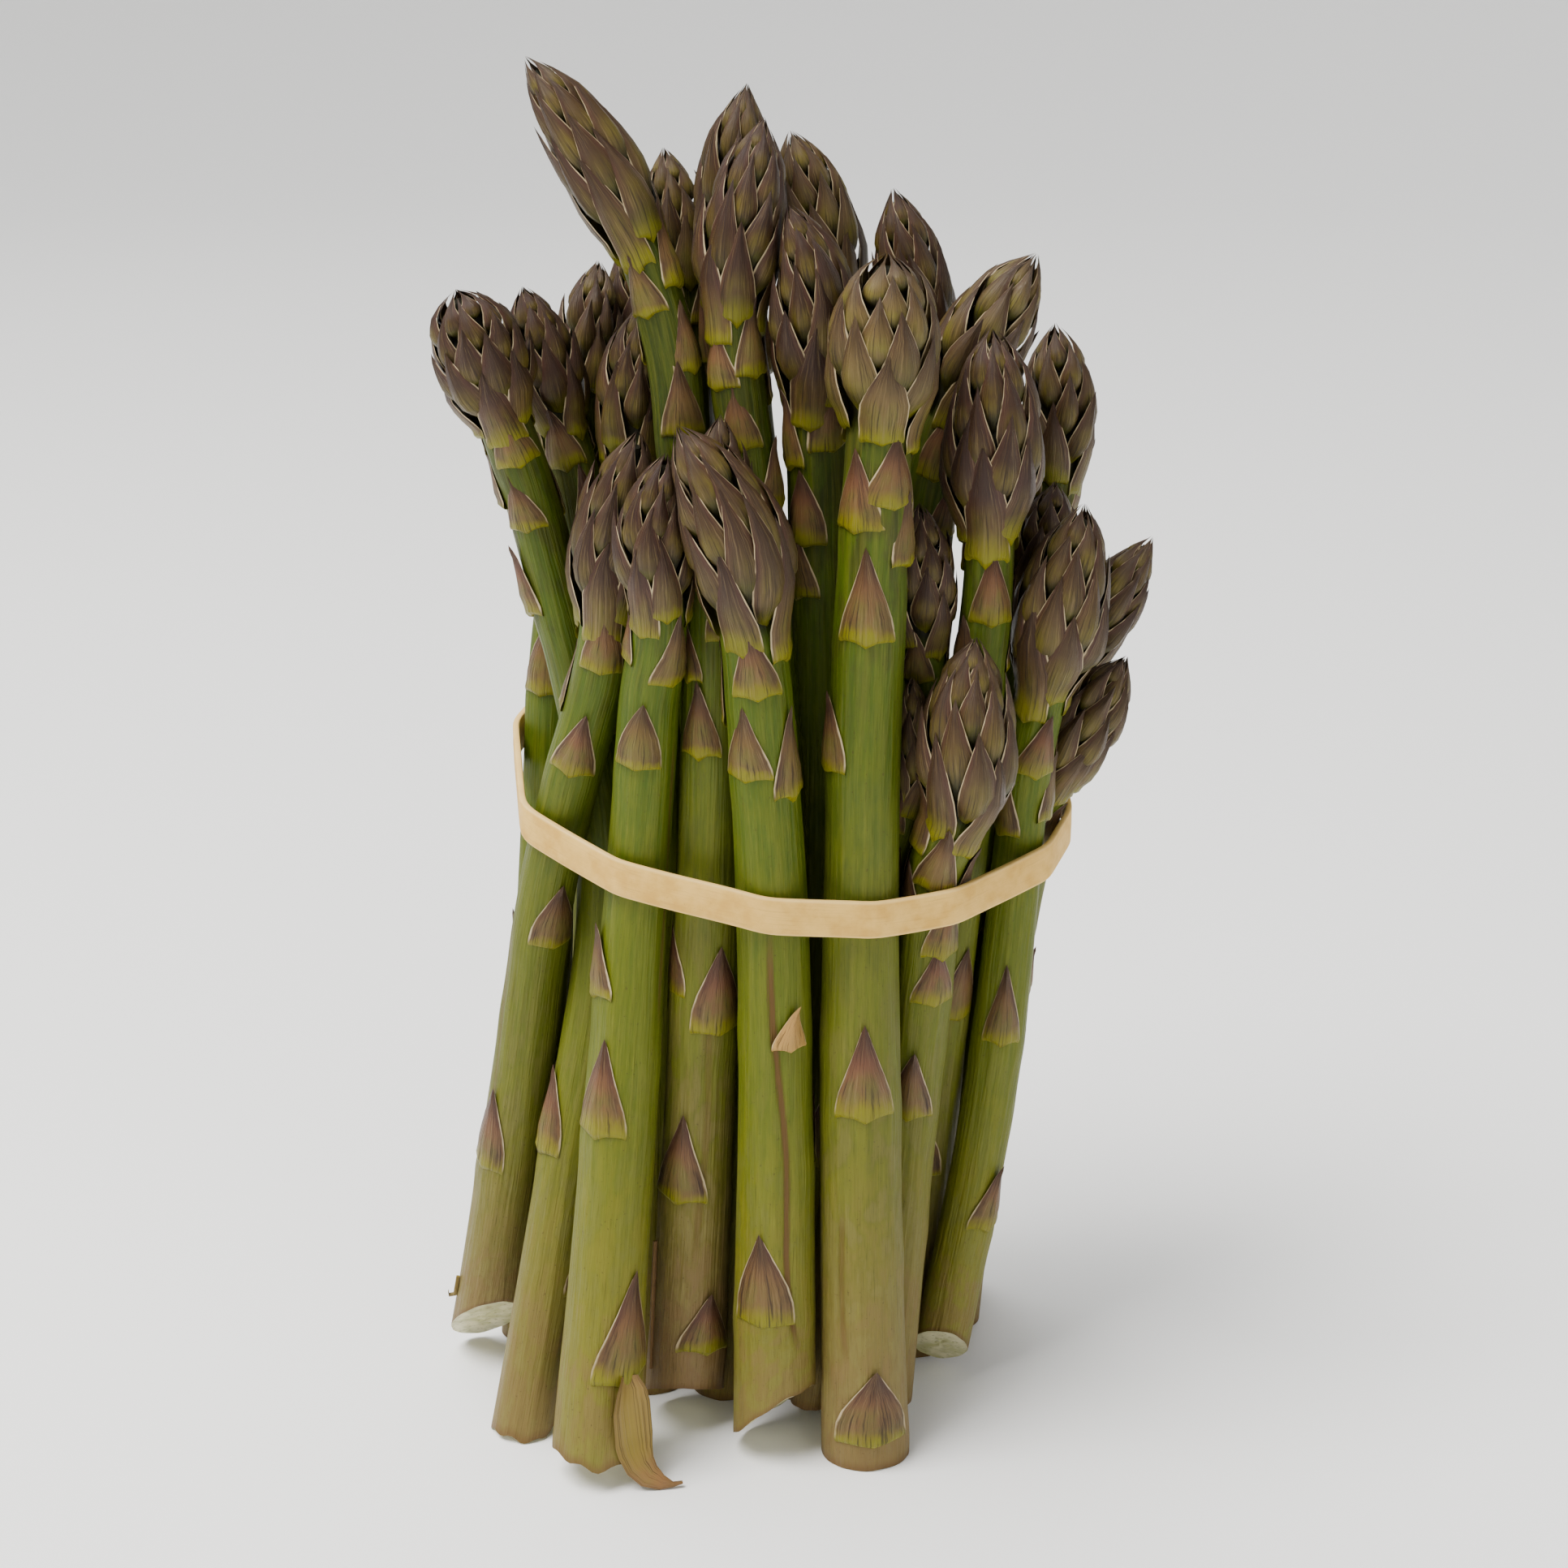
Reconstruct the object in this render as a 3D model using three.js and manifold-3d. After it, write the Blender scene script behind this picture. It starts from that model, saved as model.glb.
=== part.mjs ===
// A bundle of fresh green asparagus: thirty spears of several lengths, held at the waist by one flat
// rubber band and standing on their cut ends. Millimetres, +Z up, the front of the bundle faces -Y.
// Each spear is one solid: a tapering stalk, the triangular scale leaves that clasp it, and a pointed
// bud of overlapping scales. The origin lies on the table, in the middle of the bundle's outline.
import * as THREE from "three";
import { mergeVertices } from "three/addons/utils/BufferGeometryUtils.js";
import Module from "manifold-3d";

const wasm = await Module();
wasm.setup();

// ---- Driving dimensions, in millimetres ----
const BAND_WIDTH = 6.35; // a quarter-inch produce band
const BAND_THICKNESS = 1.1;
const BAND_HEIGHT = 114; // where the band's plane crosses the bundle's middle
const BAND_SLOPE = [-0.11, 0.28]; // how the band's plane rises along X and Y
const BAND_SLACK = 0.8; // room between the stalks and the band
const CLEARANCE = 0.5; // least room between two spears
const ELBOW_ROOM = 1.0; // the room that settling spears make for each other
const AXIS_STEPS = 18; // stretches of each spear's curved axis
const SETTLE_ROUNDS = 100; // rounds in which crowded spears push each other apart
const STIFFNESS = 0.06; // how much of a stalk's kinks each round takes out
const RING_SPACING = 26; // between the stalk's cross-sections
const PROBE = 3; // how far outside its own radius a spear looks for neighbours
const LEAST_REACH = 0.3; // no point of a spear's skin is nearer to its axis
const LEAF_COUNT = 4; // scale leaves on a stalk that has none set by hand
const FIRST_LEAF = 6; // from the neck down to the first leaf's base
const LEAF_GAP = 10.5; // from the first leaf's base to the second's; the gaps widen towards the foot
const LOWEST_LEAF = 4; // least height of a leaf's base over the foot
const LEAF_SPREAD = 48; // half of the angle that a leaf wraps, in degrees
const LEAF_RISE = 1.5; // how far a leaf's keel stands out of the stalk
const SUNK = 1.8; // how deep a leaf's root lies in the stalk
const GOLDEN_TURN = 137.5; // degrees between one leaf and the next

// ---- The spears ----
// Number; foot, where the axis starts on the table, and how high the cut end hovers; waist, the axis beside
// the band; neck and tip, both ends of the bud; radii at the foot, at the neck and at the bud's widest; full,
// how long the bud keeps its width (2 is pointed, 3.5 is blunt); steady, 1 for an outer spear that keeps its
// place when the crowd settles; cut, the slope of an oblique cut end along X and Y.
const SPEARS = [
  [1, [-14, 7, 0], [-9, -11], [-20, -8, 209], [-41, -4, 238], [6.4, 4.0, 5.8], 1.9],
  [2, [-47, -22, 0], [-27, -3], [-45, -12, 181], [-52, -15, 203], [5.8, 4.2, 6.7], 3.6],
  [3, [-36, 1, 0], [-29, 7], [-37, 3, 177], [-43, 2, 201], [6.2, 4.1, 5.6], 2.0],
  [4, [-49, 12, 0], [-39, 1], [-33, 14, 182], [-31, 18, 203], [5.8, 4.0, 4.6], 2.0],
  [5, [-24, -5, 0], [-18, -2], [-26, -1, 174], [-23, -2, 199], [6.4, 4.8, 5.3], 2.0],
  [6, [-16, 19, 0], [-10, 4], [-17, 14, 199], [-20, 15, 222], [6.4, 4.6, 5.2], 2.0],
  [7, [-31, 15, 1], [-20, 12], [-25, 21, 182], [-27, 23, 206], [6.4, 4.6, 4.8], 1.9],
  [8, [-5, 21, 0], [-2, 14], [-10, 6, 203], [-6, 7, 233], [6.6, 4.6, 5.8], 1.9],
  [9, [-11, -6, 0], [2, -12], [-8, -10, 197], [-3, -8, 229], [6.5, 4.2, 6.3], 2.0],
  [10, [-1, 9, 0], [11, 14], [9, 14, 197], [1, 13, 225], [6.6, 4.8, 6.6], 2.0],
  [11, [2, -7, 0], [8, 1], [5, -10, 183], [-1, -12, 216], [6.4, 4.6, 6.9], 1.9],
  [12, [14, -28, 0], [12, -26], [15, -24, 182], [16, -24, 210], [7.6, 5.3, 8.0], 3.0, 1],
  [13, [8, 19, 0], [22, 12], [25, 8, 188], [18, 9, 216], [6.2, 4.6, 5.6], 2.0],
  [14, [12, 8, 0], [19, 1], [25, -4, 180], [41, -3, 207], [6.2, 4.4, 6.6], 2.4],
  [15, [20, 30, 0], [31, 18], [48, 12, 166], [46, 14, 193], [5.8, 4.5, 5.8], 2.2],
  [16, [24, 8, 0], [31, -15], [34, -15, 163], [33, -14, 197], [5.5, 4.1, 7.5], 2.1, 1],
  [17, [14, -3, 0], [24, -8], [23, -15, 144], [22, -17, 169], [5.3, 3.9, 5.3], 1.9],
  [18, [19, 19, 0], [32, 0], [44, 3, 148], [46, 4, 168], [5.4, 4.2, 4.7], 2.0],
  [19, [28, -5, 1], [39, -9], [43, -13, 135], [49, -13, 168], [5.0, 4.0, 7.4], 2.1, 1, [-0.25, -1.1]],
  [20, [31, 28, 0], [39, 11], [50, 5, 136], [63, 5, 158], [5.3, 4.2, 4.9], 2.0],
  [21, [31, 18, 0], [41, 2], [45, -5, 117], [58, -6, 140], [5.3, 4.4, 5.4], 2.1],
  [22, [17, -15, 2], [24, -22], [28, -24, 117], [31, -26, 149], [5.3, 4.7, 7.5], 2.0, 1],
  [23, [5, -17, 3], [18, -14], [20, -19, 119], [21, -21, 141], [3.8, 2.9, 3.4], 1.9],
  [24, [-57, 3, 1], [-37, -11], [-28, -21, 149], [-23, -23, 182], [6.3, 4.4, 6.3], 2.2, 1, [0.2, -0.95]],
  [25, [-1, -29, 1], [0, -27], [-5, -30, 151], [-17, -33, 185], [7.5, 5.2, 7.4], 2.2, 1, [0.7, -0.6]],
  [26, [-18, -19, 2], [-12, -23], [-12, -22, 157], [-10, -20, 184], [7.0, 4.6, 5.4], 2.0, 1, [0.0, -0.6]],
  [27, [-33, -36, 4], [-24, -18], [-19, -28, 154], [-17, -31, 180], [7.4, 4.4, 5.6], 2.0, 1, [0.0, 0.2]],
  [28, [-6, 34, 0], [3, 27], [-10, 30, 168], [-13, 33, 194], [6.6, 4.9, 6.2], 2.0],
  [29, [8, 32, 0], [17, 25], [17, 30, 150], [20, 33, 180], [6.6, 5.0, 6.8], 2.1],
  [30, [-40, 27, 2], [-31, 18], [-40, 24, 148], [-44, 28, 175], [6.4, 4.7, 6.0], 2.1],
];

// The leaves that are placed by hand, by spear number. Each is the height of its base along the axis, the way
// it faces in degrees (0 is right, 90 back, -90 front) and its length.
const LEAVES = {
  1: [[200, -118, 11], [190, -40, 12], [180, -78, 12], [166, 90, 12], [150, -135, 12]],
  9: [[188, -135, 10], [178, -98, 12], [168, -25, 12], [158, 90, 12]],
  12: [[171, -62, 12], [167, -125, 13], [149, -97, 15], [156, 60, 13], [127, -160, 13], [67, -85, 16],
    [84, 120, 15], [5, -80, 15], [40, 70, 16]],
  14: [[171, -92, 12], [161, -50, 12], [151, -140, 12], [140, 80, 12]],
  16: [[152, -82, 12], [141, -145, 12], [130, 60, 12], [78, -60, 15], [44, -110, 14]],
  19: [[122, -75, 11], [71, -88, 15], [34, -48, 14], [56, 90, 13]],
  22: [[85, -70, 12], [61, -100, 14], [74, 80, 12], [36, 70, 13]],
  24: [[146, -90, 12], [127, -98, 12], [136, 60, 12], [93, -62, 14], [44, -140, 16], [76, 100, 14]],
  25: [[141, -90, 14], [127, -120, 13], [133, 60, 13], [27, -107, 17], [84, 100, 14], [56, 30, 15]],
  26: [[146, -60, 12], [127, -112, 13], [137, 80, 12], [78, -62, 15], [84, -168, 13], [46, -117, 18],
    [11, -60, 17]],
  27: [[142, -50, 12], [126, -105, 12], [134, 90, 12], [86, -165, 14], [59, -125, 18], [15, -52, 20],
    [72, 60, 14]],
};

// ---- Small helpers ----
const lerp = THREE.MathUtils.lerp;
const smoothstep = THREE.MathUtils.smoothstep;
const vec = (p) => new THREE.Vector3(...p);

// A repeatable draw between 0 and 1 for the k-th feature of a spear.
function draw(seed, k) {
  const v = Math.sin(seed * 127.1 + k * 311.7) * 43758.5453;
  return v - Math.floor(v);
}

// ---- Axes: hand-placed corners, rounded off, then settled so that no two spears share a place ----
function bandPlane(x, y) {
  return BAND_HEIGHT + BAND_SLOPE[0] * x + BAND_SLOPE[1] * y;
}

// Points at equal distances along the line through foot, waist, neck and tip, with its corners rounded.
function axisPoints(foot, waist, neck, tip) {
  const corners = [vec(foot), vec([...waist, bandPlane(...waist)]), vec(neck), vec(tip)];
  const lengths = [0];
  for (let i = 1; i < corners.length; i++)
    lengths.push(lengths[i - 1] + corners[i].distanceTo(corners[i - 1]));
  let points = [];
  for (let k = 0; k <= AXIS_STEPS; k++) {
    const at = (lengths[lengths.length - 1] * k) / AXIS_STEPS;
    let i = 1;
    while (i < corners.length - 1 && lengths[i] < at) i++;
    const share = (at - lengths[i - 1]) / (lengths[i] - lengths[i - 1]);
    points.push(corners[i - 1].clone().lerp(corners[i], share));
  }
  for (let round = 0; round < 2; round++) {
    points = points.map((p, k) =>
      k === 0 || k === AXIS_STEPS
        ? p
        : p.clone().multiplyScalar(2).add(points[k - 1]).add(points[k + 1]).divideScalar(4),
    );
  }
  return points;
}

// The spear's radius at share u of its length: a straight taper, then the bud's belly and point.
function radiusAt(spear, u) {
  const [atFoot, atNeck, atBud] = spear.radii;
  const start = 1 - spear.budShare;
  if (u <= start) return lerp(atFoot, atNeck, u / start);
  const h = Math.min(1, (u - start) / spear.budShare);
  const belly = lerp(atNeck, atBud, smoothstep(h, 0, 0.3));
  return belly * (1 - Math.pow(Math.max(0, (h - 0.3) / 0.7), spear.full));
}

// The place on a spear's axis nearest to a point: [distance, share of length, nearest point].
function nearest(spear, point) {
  let best = [Infinity, 0, null];
  const line = new THREE.Vector3();
  const off = new THREE.Vector3();
  for (let k = 0; k < AXIS_STEPS; k++) {
    const a = spear.points[k];
    line.subVectors(spear.points[k + 1], a);
    const t = THREE.MathUtils.clamp(off.subVectors(point, a).dot(line) / line.lengthSq(), 0, 1);
    const d = off.addScaledVector(line, -t).length();
    if (d < best[0]) best = [d, (k + t) / AXIS_STEPS, a.clone().addScaledVector(line, t)];
  }
  return best;
}

function settle(spears) {
  for (let round = 0; round < SETTLE_ROUNDS; round++) {
    const pushes = spears.map((s) => s.points.map(() => new THREE.Vector3()));
    spears.forEach((s, i) => {
      s.points.forEach((p, k) => {
        const own = radiusAt(s, k / AXIS_STEPS);
        for (const o of spears) {
          if (o === s) continue;
          const [d, u, q] = nearest(o, p);
          const missing = own + radiusAt(o, u) + ELBOW_ROOM - d;
          if (missing <= 0) continue;
          const share = s.steady ? (o.steady ? 0.5 : 0.2) : o.steady ? 0.8 : 0.5;
          const away = new THREE.Vector3(p.x - q.x, p.y - q.y, 0);
          if (away.lengthSq() > 1e-9) pushes[i][k].addScaledVector(away.normalize(), missing * share * 0.5);
        }
      });
    });
    spears.forEach((s, i) => {
      const push = pushes[i];
      const old = s.points;
      s.points = old.map((p, k) => {
        const [before, after] = [Math.max(0, k - 1), Math.min(AXIS_STEPS, k + 1)];
        const moved = p.clone().addScaledVector(push[k], 0.5);
        moved.addScaledVector(push[before], 0.25).addScaledVector(push[after], 0.25);
        const stalk = k > 0 && k / AXIS_STEPS < 0.92 - s.budShare;
        if (stalk) moved.addScaledVector(old[before], STIFFNESS).addScaledVector(old[after], STIFFNESS)
          .addScaledVector(p, -2 * STIFFNESS);
        return moved;
      });
    });
  }
}

const spears = SPEARS.map(([number, foot, waist, neck, tip, radii, full, steady = 0, cut = [0, 0]]) => {
  const name = `spear_${String(number).padStart(2, "0")}`;
  const points = axisPoints(foot, waist, neck, tip);
  const length = points.slice(1).reduce((sum, p, k) => sum + p.distanceTo(points[k]), 0);
  const budShare = vec(tip).distanceTo(vec(neck)) / length;
  return { name, foot, radii, full, steady, cut, seed: number, points, length, budShare };
});
settle(spears);

// Position and frame on the axis at share u: Catmull-Rom through the equally spaced points.
function axisFrame(spear, u) {
  const p = spear.points;
  const at = THREE.MathUtils.clamp(u, 0, 1) * AXIS_STEPS;
  const k = Math.min(AXIS_STEPS - 1, Math.floor(at));
  const t = at - k;
  const p0 = k > 0 ? p[k - 1] : p[0].clone().multiplyScalar(2).sub(p[1]);
  const p3 = k < AXIS_STEPS - 1 ? p[k + 2] : p[AXIS_STEPS].clone().multiplyScalar(2).sub(p[k]);
  const blend = (a, b, c, d) => p0.clone().multiplyScalar(a / 2)
    .addScaledVector(p[k], b / 2).addScaledVector(p[k + 1], c / 2).addScaledVector(p3, d / 2);
  const t2 = t * t;
  const t3 = t2 * t;
  const origin = blend(-t3 + 2 * t2 - t, 3 * t3 - 5 * t2 + 2, -3 * t3 + 4 * t2 + t, t3 - t2);
  const along = blend(-3 * t2 + 4 * t - 1, 9 * t2 - 10 * t, -9 * t2 + 8 * t + 1, 3 * t2 - 2 * t);
  along.normalize();
  const side = new THREE.Vector3(1, 0, 0).addScaledVector(along, -along.x).normalize();
  const back = new THREE.Vector3().crossVectors(along, side);
  return { origin, along, side, back };
}

// How far a spear may reach from its axis in one direction before it meets a neighbour: both stop at the
// surface that is equally far from their skins. A neighbour is looked for no further out than PROBE.
function roomFor(spear, origin, direction, radius) {
  let room = Infinity;
  for (const other of spears) {
    if (other === spear) continue;
    let reach = radius;
    for (let pass = 0; pass < 3; pass++) {
      const probe = origin.clone().addScaledVector(direction, Math.min(reach, radius + PROBE));
      const [, u, q] = nearest(other, probe);
      const w = q.sub(origin);
      const k = radiusAt(other, u) - radius + CLEARANCE;
      const facing = 2 * (k + w.dot(direction));
      reach = facing > 0 ? (w.lengthSq() - k * k) / facing : Infinity;
    }
    room = Math.min(room, reach);
  }
  return room;
}

// A point of a spear's skin: share u of its length, turned by angle, raised by rise over the plain radius
// and then sunk by sink.
function skin(spear, u, angle, rise, sink = 0) {
  const frame = axisFrame(spear, u);
  const direction = frame.side.clone().multiplyScalar(Math.cos(angle));
  direction.addScaledVector(frame.back, Math.sin(angle));
  const radius = radiusAt(spear, u);
  const reach = Math.min(radius + rise, roomFor(spear, frame.origin, direction, radius));
  return frame.origin.clone().addScaledVector(direction, Math.max(LEAST_REACH, reach - sink));
}

// ---- Geometry to solid and back ----
function solidFrom(vertices, triangles) {
  const geometry = new THREE.BufferGeometry();
  const numbers = new Float32Array(vertices.flatMap((v) => v.toArray()));
  geometry.setAttribute("position", new THREE.BufferAttribute(numbers, 3));
  geometry.setIndex(triangles.flat());
  const merged = mergeVertices(geometry, 1e-4);
  return new wasm.Manifold(new wasm.Mesh({
    numProp: 3,
    vertProperties: merged.getAttribute("position").array,
    triVerts: new Uint32Array(merged.index.array),
  }));
}

function geometryFrom(solid) {
  const mesh = solid.getMesh();
  const geometry = new THREE.BufferGeometry();
  geometry.setAttribute("position", new THREE.BufferAttribute(mesh.vertProperties, 3));
  geometry.setIndex(new THREE.BufferAttribute(mesh.triVerts, 1));
  geometry.computeVertexNormals();
  return geometry;
}

// Closed rings of equal length, each joined to the next, with a fan at both ends. Each patch between four
// neighbouring points is creased from low left to high right where leansRight says so, else the other way.
function loft(rings, first, last, leansRight) {
  const n = rings[0].length;
  const vertices = [...rings.flat(), first, last];
  const triangles = [];
  for (let r = 0; r + 1 < rings.length; r++) {
    for (let j = 0; j < n; j++) {
      const [a, b] = [r * n + j, r * n + ((j + 1) % n)];
      if (leansRight(r, j)) triangles.push([a, b, b + n], [a, b + n, a + n]);
      else triangles.push([a, b, a + n], [b, b + n, a + n]);
    }
  }
  const top = (rings.length - 1) * n;
  const [low, high] = [vertices.length - 2, vertices.length - 1];
  for (let j = 0; j < n; j++) {
    triangles.push([low, (j + 1) % n, j]);
    triangles.push([high, top + j, top + ((j + 1) % n)]);
  }
  return solidFrom(vertices, triangles);
}

// ---- Stalk and bud ----
// The bud's scales stand in rows, each row half a scale round from the last. A row is two rings of points.
// On the first, the columns that carry the row before pass their scales' middles, and the columns between
// them dip into the pockets where new scales start. On the second, the old scales end in their raised
// points and the new ones swell to their bellies.
const BUD_ROWS = 6;
const ROW_FOOT = 0.04; // where the first row lies, as a share of the bud's length
const ROW_STEP = 0.15; // from one row to the next
const WIDE_BUD = 7.2; // from this radius a bud and its stalk have ten corners instead of eight

function budRings(spear, columns, spin) {
  const start = 1 - spear.budShare;
  const ring = (point) =>
    Array.from({ length: columns }, (_, j) => {
      const [h, rise] = point(j);
      const u = start + spear.budShare * h;
      const size = Math.min(spear.radii[2] / 6, radiusAt(spear, u) / 3);
      return skin(spear, u, spin + (2 * Math.PI * j) / columns, rise * size);
    });
  const rings = [];
  for (let k = 0; k < BUD_ROWS; k++) {
    const foot = ROW_FOOT + ROW_STEP * k;
    const old = (j) => (j + k) % 2 === 0;
    rings.push(ring((j) => [foot, old(j) ? 0.6 : -1]));
    rings.push(ring((j) => (old(j) ? [foot + 0.85 * ROW_STEP, 0.9] : [foot + 0.4 * ROW_STEP, 0.4])));
  }
  return rings;
}

// Where along the stalk its cross-sections lie, with one under the band, where most stalks bend.
function stalkStations(spear) {
  const start = 1 - spear.budShare;
  const crossing = bandCrossing(spear);
  const spaced = (from, to) => {
    const n = Math.max(1, Math.round(((to - from) * spear.length) / RING_SPACING));
    return Array.from({ length: n }, (_, k) => lerp(from, to, k / n));
  };
  return [...spaced(0, crossing), ...spaced(crossing, start), start];
}

function stalkAndBud(spear) {
  const columns = spear.radii[2] >= WIDE_BUD ? 10 : 8;
  const spin = 2 * Math.PI * draw(spear.seed, 1);
  const start = 1 - spear.budShare;
  const heights = stalkStations(spear);
  const stretches = heights.length - 1;
  const rings = heights.map((u) =>
    Array.from({ length: columns }, (_, j) => skin(spear, u, spin + (2 * Math.PI * j) / columns, 0)));
  // The cut end: the first ring and its middle slide along the axis onto the cut's plane.
  const { origin, along } = axisFrame(spear, 0);
  const [sx, sy] = spear.cut;
  const hover = spear.foot[2] + spear.radii[0] * Math.hypot(sx, sy);
  const onCut = (p) => {
    const gap = p.z - hover - sx * (p.x - origin.x) - sy * (p.y - origin.y);
    return p.clone().addScaledVector(along, -gap / (along.z - sx * along.x - sy * along.y));
  };
  rings[0] = rings[0].map(onCut);
  const budTop = axisFrame(spear, 1).origin;
  const leansRight = (r, j) => Math.abs(j + Math.floor((r - stretches - 1) / 2)) % 2 === 1;
  return loft([...rings, ...budRings(spear, columns, spin)], onCut(origin), budTop, leansRight);
}

// ---- Scale leaves on the stalk ----
// A leaf is a low keeled wedge: three points along its clasping base, one on each side, and its tip.
function leafSolid(spear, base, angle, length, spread) {
  const outline = [[0, -1, 0.6], [0, 0, 1], [0, 1, 0.6], [0.45, 0.7, 0.5], [1, 0, 0.8], [0.45, -0.7, 0.5]];
  const face = (sink) => outline.map(([up, across, rise]) =>
    skin(spear, (base + length * up) / spear.length, angle + spread * across, LEAF_RISE * rise, sink));
  const patches = [[0, 1, 5], [1, 4, 5], [1, 3, 4], [1, 2, 3]];
  const m = outline.length;
  const triangles = [...patches];
  for (const [a, b, c] of patches) triangles.push([m + a, m + c, m + b]);
  for (let a = 0; a < m; a++) {
    const b = (a + 1) % m;
    triangles.push([a, m + a, b], [b, m + a, m + b]);
  }
  return solidFrom([...face(0), ...face(LEAF_RISE + SUNK)], triangles);
}

// Where each leaf clasps the stalk. A spear with none set by hand has them close together under the bud and
// further apart towards the foot, a golden turn from one to the next. All are kept clear of the band.
function leafPlaces(spear) {
  const neck = spear.length * (1 - spear.budShare);
  const crossing = bandCrossing(spear) * spear.length;
  const clear = BAND_WIDTH / 2 + spear.radii[0];
  const grown = Array.from({ length: LEAF_COUNT }, (_, k) => {
    const down = FIRST_LEAF + LEAF_GAP * Math.pow(k, 1.42) * lerp(0.9, 1.1, draw(spear.seed, 20 + k));
    const thickness = 2 * radiusAt(spear, (neck - down) / spear.length);
    const facing = 360 * draw(spear.seed, 2) + GOLDEN_TURN * k;
    return [neck - down, facing, thickness * lerp(1.3, 1.55, draw(spear.seed, 40 + k))];
  });
  return (LEAVES[spear.seed] ?? grown).map(([height, facing, length], k) => {
    const middle = height + length / 2;
    const near = Math.abs(middle - crossing) < length / 2 + clear;
    return {
      base: near ? (middle > crossing ? crossing + clear : crossing - clear - length) : height,
      length,
      angle: THREE.MathUtils.degToRad(facing),
      spread: THREE.MathUtils.degToRad(LEAF_SPREAD * lerp(0.92, 1.08, draw(spear.seed, 60 + k))),
    };
  }).filter((leaf) => leaf.base > LOWEST_LEAF);
}

// The share of a spear's length at which it passes the middle of the band.
function bandCrossing(spear) {
  let [low, high] = [0, 1];
  for (let i = 0; i < 30; i++) {
    const middle = (low + high) / 2;
    const p = axisFrame(spear, middle).origin;
    if (p.z < bandPlane(p.x, p.y)) low = middle;
    else high = middle;
  }
  return (low + high) / 2;
}

function spearSolid(spear) {
  const leaves = leafPlaces(spear).map((l) => leafSolid(spear, l.base, l.angle, l.length, l.spread));
  const bodies = wasm.Manifold.union([stalkAndBud(spear), ...leaves]).decompose();
  return bodies.sort((a, b) => b.volume() - a.volume())[0];
}

// ---- The rubber band ----
// Its loop is the tightest line round every point of a stalk's skin that lies between the band's two edges.
const ROUND = 24; // points looked at round each stalk
const LEAST_CORNER = 1.25; // corners of the loop closer than this are one corner of the rubber

function bandLoop() {
  const dots = [];
  for (const spear of spears) {
    const middle = bandCrossing(spear);
    for (let shift = -2; shift <= 2; shift += 0.25) {
      const u = middle + (shift * BAND_WIDTH) / spear.length;
      for (let a = 0; a < ROUND; a++) {
        const p = skin(spear, u, (2 * Math.PI * a) / ROUND, BAND_SLACK);
        if (Math.abs(p.z - bandPlane(p.x, p.y)) < BAND_WIDTH / 2 + 1) dots.push([p.x, p.y]);
      }
    }
  }
  dots.sort((p, q) => p[0] - q[0] || p[1] - q[1]);
  const half = (list) => {
    const chain = [];
    for (const p of list) {
      while (chain.length > 1) {
        const [a, b] = chain.slice(-2);
        if ((b[0] - a[0]) * (p[1] - a[1]) - (b[1] - a[1]) * (p[0] - a[0]) > 0) break;
        chain.pop();
      }
      chain.push(p);
    }
    return chain.slice(0, -1);
  };
  const hull = [...half(dots), ...half([...dots].reverse())];
  const fromLast = (p, k) => Math.hypot(p[0] - hull[k - 1][0], p[1] - hull[k - 1][1]);
  return hull.filter((p, k) => k === 0 || fromLast(p, k) > LEAST_CORNER);
}

function bandSolid() {
  const loop = bandLoop();
  const n = loop.length;
  const corners = loop.map(([x, y], k) => {
    const [ax, ay] = loop[(k + n - 1) % n];
    const [bx, by] = loop[(k + 1) % n];
    const tangent = new THREE.Vector3(bx - ax, by - ay, bandPlane(bx, by) - bandPlane(ax, ay)).normalize();
    const out = new THREE.Vector3(by - ay, ax - bx, 0).normalize();
    const up = new THREE.Vector3().crossVectors(out, tangent).normalize();
    const p = new THREE.Vector3(x, y, bandPlane(x, y));
    const corner = (away, high) => p.clone().addScaledVector(out, away).addScaledVector(up, high);
    return [
      corner(0, -BAND_WIDTH / 2), corner(BAND_THICKNESS, -BAND_WIDTH / 2),
      corner(BAND_THICKNESS, BAND_WIDTH / 2), corner(0, BAND_WIDTH / 2),
    ];
  });
  const triangles = [];
  for (let k = 0; k < n; k++) {
    const [a, b] = [4 * k, 4 * ((k + 1) % n)];
    for (let j = 0; j < 4; j++) {
      const i = (j + 1) % 4;
      triangles.push([a + j, b + j, b + i], [a + j, b + i, a + i]);
    }
  }
  return solidFrom(corners.flat(), triangles);
}

// ---- The bundle ----
const MIDDLE = [0.16, -0.71]; // the middle of the bundle's outline, which becomes the origin
const bundle = new THREE.Group();

function addPiece(name, solid, color, roughness) {
  const geometry = geometryFrom(solid).translate(-MIDDLE[0], -MIDDLE[1], 0);
  const mesh = new THREE.Mesh(geometry, new THREE.MeshStandardMaterial({ color, roughness, metalness: 0 }));
  mesh.name = name;
  bundle.add(mesh);
}

for (const spear of spears) addPiece(spear.name, spearSolid(spear), 0x7f9a2e, 0.5);
addPiece("rubber_band", bandSolid(), 0xd9b67c, 0.65);

export default bundle;
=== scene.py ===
# A bundle of fresh green asparagus, standing on its cut ends and held at the waist by one flat rubber
# band. Every spear is grown here from the same axis as the solid it stands for: a ribbed stalk,
# papery scale leaves clasping it, and a bud of overlapping scales.
import math

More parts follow.
